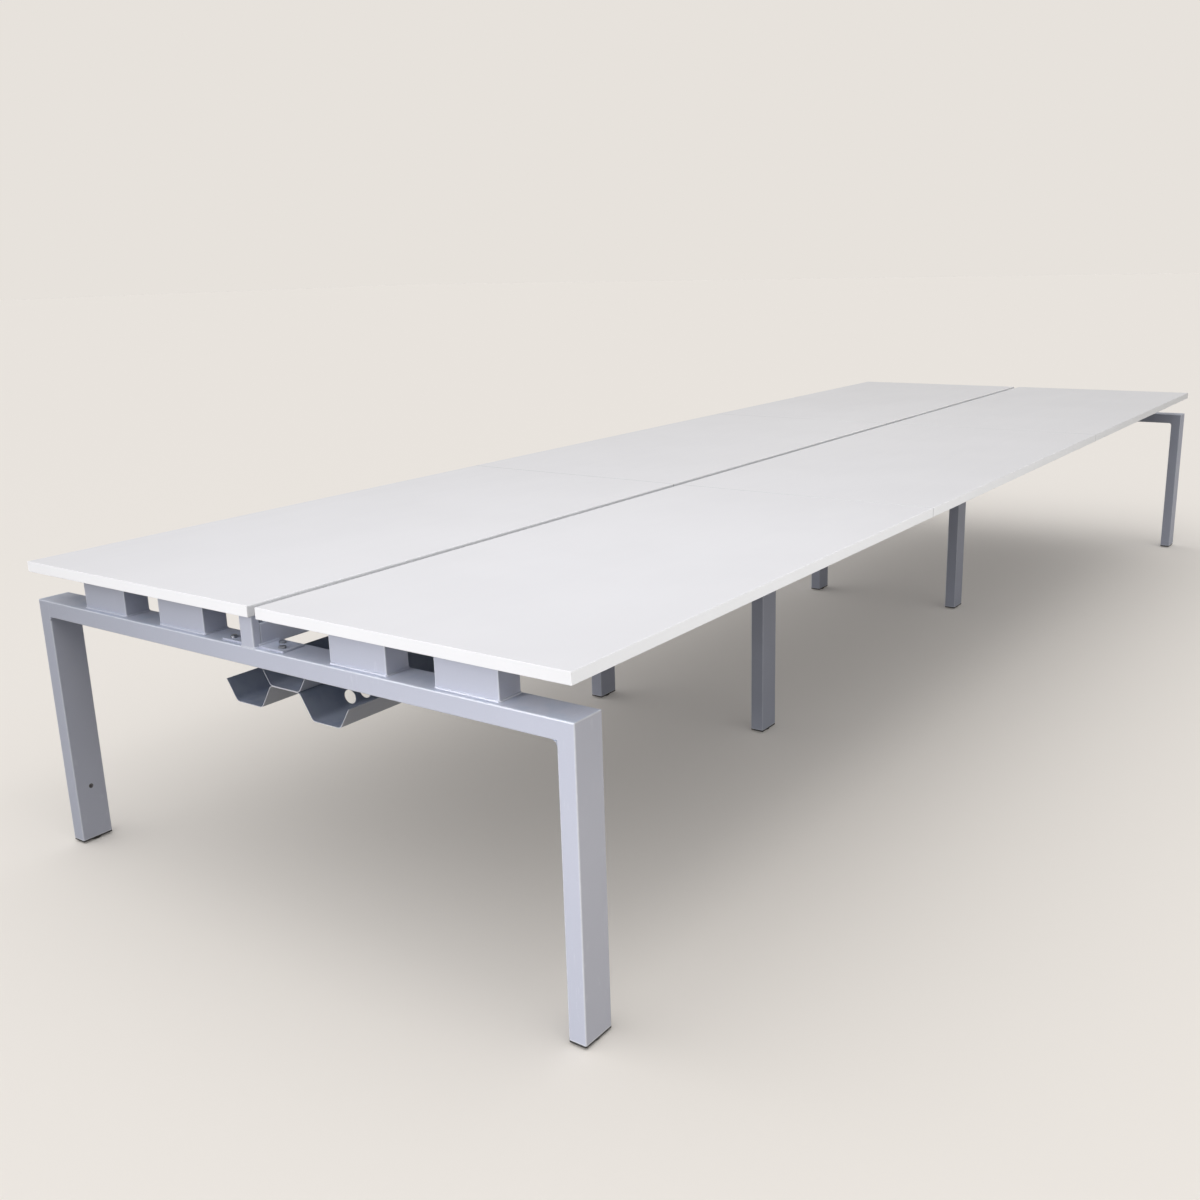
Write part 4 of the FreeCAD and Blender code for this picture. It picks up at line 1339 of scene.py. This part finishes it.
@dataclass(frozen=True)
class Lamp:
    """A soft lamp that lights the desk, a part of it, or the floor alone."""

    name: str
    place: Triple
    aim: Triple
    width: float
    height: float
    power: float
    colour: Triple = WHITE
    lit: Lit = Lit.DESK
    spread: float = 180.0

    def build(self, floor: bpy.types.Object) -> None:
        """Hangs the lamp.

        Args:
            floor: The floor, which only its own lamp lights.
        """
        light = bpy.data.lights.new(self.name, "AREA")
        light.shape = "RECTANGLE"
        light.size, light.size_y = self.width, self.height
        light.energy, light.color = self.power, self.colour
        light.spread = math.radians(self.spread)
        lamp = put_in_scene(self.name, light)
        lamp.location = self.place
        way = Vector(self.aim) - Vector(self.place)
        lamp.rotation_euler = way.to_track_quat("-Z", "Y").to_euler()
        lamp.visible_camera = False
        lamp.light_linking.receiver_collection = self._receivers(floor)

    def _receivers(self, floor: bpy.types.Object) -> bpy.types.Collection:
        """Lists what the lamp lights or leaves alone.

        Args:
            floor: The floor, which only its own lamp lights.

        Returns:
            The collection for the lamp's light linking.
        """
        edging, boards = ([piece for name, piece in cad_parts.items() if name.startswith(start)]
                          for start in ("edging_", "top_"))
        listed = {Lit.DESK: [floor], Lit.SIDES: [floor, *boards], Lit.FRAME: [floor, *edging, *boards],
                  Lit.EDGING: edging, Lit.FLOOR: [floor]}[self.lit]
        state = "INCLUDE" if self.lit in (Lit.EDGING, Lit.FLOOR) else "EXCLUDE"
        collection = bpy.data.collections.new(f"{self.name}_receivers")
        for piece in listed:
            collection.objects.link(piece)
        for entry in collection.collection_objects:
            entry.light_linking.link_state = state
        return collection


@dataclass(frozen=True)
class PhotoCamera:
    """The camera at the photograph's angle, for a square image."""

    image: float = 1200.0
    focal: float = 1242.8
    axis: tuple[float, float] = (630.0, 600.0)
    sensor: float = 36.0
    clip: tuple[float, float] = (0.05, 400.0)
    eye: Triple = (-3.94535, -2.01660, 1.38066)
    right: Triple = (0.568084, -0.822635, -0.023488)
    down: Triple = (-0.228056, -0.129937, -0.964939)
    ahead: Triple = (0.790741, 0.553523, -0.261422)

    def build(self) -> None:
        """Sets up the camera and makes it the scene's."""
        data = bpy.data.cameras.new("photo_camera")
        data.sensor_width = self.sensor
        data.lens = self.focal * self.sensor / self.image
        data.shift_x = (self.image / 2 - self.axis[0]) / self.image
        data.shift_y = (self.axis[1] - self.image / 2) / self.image
        data.clip_start, data.clip_end = self.clip
        camera = put_in_scene("photo_camera", data)
        turn = Matrix((self.right, -Vector(self.down), -Vector(self.ahead))).transposed()
        camera.matrix_world = Matrix.Translation(self.eye) @ turn.to_4x4()
        bpy.context.scene.camera = camera


@dataclass(frozen=True)
class Studio:
    """The pale floor, the soft light round the desk and the camera."""

    backdrop: Triple = (0.799, 0.761, 0.716)
    floor_seen: Triple = (0.91, 0.866, 0.815)
    floor_bounce: Triple = (0.20, 0.192, 0.184)
    floor_lift: float = 0.13
    floor_size: float = 160.0
    dome_way: Triple = (-0.80, 0.35, 0.50)
    dome_low: float = 0.36
    dome_high: float = 1.12
    dome_horizon: float = 0.36
    dome_zenith: float = 1.165
    lamps: tuple[Lamp, ...] = (
        Lamp("key", (-6.0, 0.65, 1.9), (-2.39, -1.36, 0.08), 0.8, 0.6, 15.2, (1.02, 0.985, 0.97),
             Lit.FRAME, spread=61.0),
        Lamp("side", (-2.9, -3.2, 1.6), (-2.38, -0.8, 0.2), 0.6, 0.6, 1.5, (1.14, 1.0, 0.80),
             Lit.FRAME, spread=40.0),
        Lamp("above", (-2.15, -0.4, 2.9), (-2.15, -0.4, 0.7), 1.8, 1.4, 17.0, (0.97, 0.985, 1.06)),
        Lamp("middle", (0.5, 0.15, 2.1), (0.5, 0.15, 0.7), 1.0, 0.8, 1.5),
        Lamp("back", (6.2, 2.0, 2.4), (2.4, 0.0, 0.5), 2.0, 1.4, 85.0, lit=Lit.SIDES),
        Lamp("floor_wash", (-2.3, -1.6, 4.5), (-2.3, -1.6, 0.0), 1.2, 1.2, 13.0, (1.03, 1.0, 0.96),
             Lit.FLOOR),
        Lamp("front_edge", (-5.2, -0.35, 1.3), (-2.4, 0.0, 0.72), 2.0, 0.6, 54.0, (1.0, 1.0, 1.03),
             Lit.EDGING),
        Lamp("side_edge", (-1.75, -4.2, 1.2), (-1.15, -0.8, 0.72), 2.6, 0.6, 74.0, lit=Lit.EDGING),
    )
    camera: PhotoCamera = PhotoCamera()

    def build(self) -> None:
        """Builds the studio round the desk."""
        bpy.context.scene.view_settings.view_transform = "Standard"
        self._world()
        floor = self._floor()
        for lamp in self.lamps:
            lamp.build(floor)
        self.camera.build()

    @staticmethod
    def _mix(nodes: Nodes, factor: Given, first: Node, second: Node) -> Node:
        """Mixes two shaders by a factor."""
        return nodes.give(nodes.add("MixShader"), factor, first.outputs[0], second.outputs[0])

    @staticmethod
    def _seen(nodes: Nodes) -> Socket:
        """Makes the factor of rays that show the background: straight, mirrored or through glass.

        Args:
            nodes: The nodes of the world or the floor.

        Returns:
            The factor.
        """
        path = nodes.add("LightPath").outputs
        rays = nodes.math("ADD", path["Is Camera Ray"], path["Is Glossy Ray"], clamp=True)
        return nodes.math("ADD", rays, path["Is Transmission Ray"], clamp=True)

    def _world(self) -> None:
        """Makes a dome that is brighter over the near end."""
        world = bpy.data.worlds.new("studio")
        bpy.context.scene.world = world
        nodes = Nodes(fresh_tree(world))
        ray = nodes.add("TexCoord").outputs["Generated"]
        toward = nodes.vector("DOT_PRODUCT", ray, Vector(self.dome_way).normalized())
        rise = nodes.vector("DOT_PRODUCT", ray, (0, 0, 1))
        strength = nodes.math(
            "MULTIPLY", nodes.span(toward, low=-0.6, high=1.0, start=self.dome_low, end=self.dome_high),
            nodes.span(rise, low=0.0, high=0.6, start=self.dome_horizon, end=self.dome_zenith))
        dome = nodes.give(nodes.add("Background"), Color=WHITE, Strength=strength)
        plain = nodes.give(nodes.add("Background"), Color=self.backdrop)
        mix = self._mix(nodes, self._seen(nodes), dome, plain)
        nodes.give(nodes.add("OutputWorld"), Surface=mix.outputs[0])

    def _floor(self) -> bpy.types.Object:
        """Lays the floor.

        Returns:
            The floor's object.
        """
        material = bpy.data.materials.new("pale_floor")
        nodes = Nodes(fresh_tree(material))
        lit = nodes.give(nodes.add("BsdfDiffuse"), Color=self.floor_seen)
        bounce = nodes.give(nodes.add("BsdfDiffuse"), Color=self.floor_bounce)
        glow = nodes.give(nodes.add("Emission"), Color=self.backdrop)
        shown = self._mix(nodes, self.floor_lift, lit, glow)
        mix = self._mix(nodes, self._seen(nodes), bounce, shown)
        nodes.give(nodes.add("OutputMaterial"), Surface=mix.outputs[0])
        bm = bmesh.new()
        bmesh.ops.create_grid(bm, x_segments=1, y_segments=1, size=self.floor_size / 2)
        floor = object_of("floor", bm, [material])
        return floor


def main() -> None:
    """Builds the desk's sub-assemblies and the studio in order."""
    logging.basicConfig(level=logging.INFO, format="%(name)s: %(message)s")
    Effects().build()
    finishes = Finishes()
    for kind in (DeskTops, WeldedFrames, SpineRun, CableTrays, Feet, SmallParts):
        part = kind(finishes)
        part.dress()
        part.build()
    Studio().build()


if __name__ == "__main__":
    main()
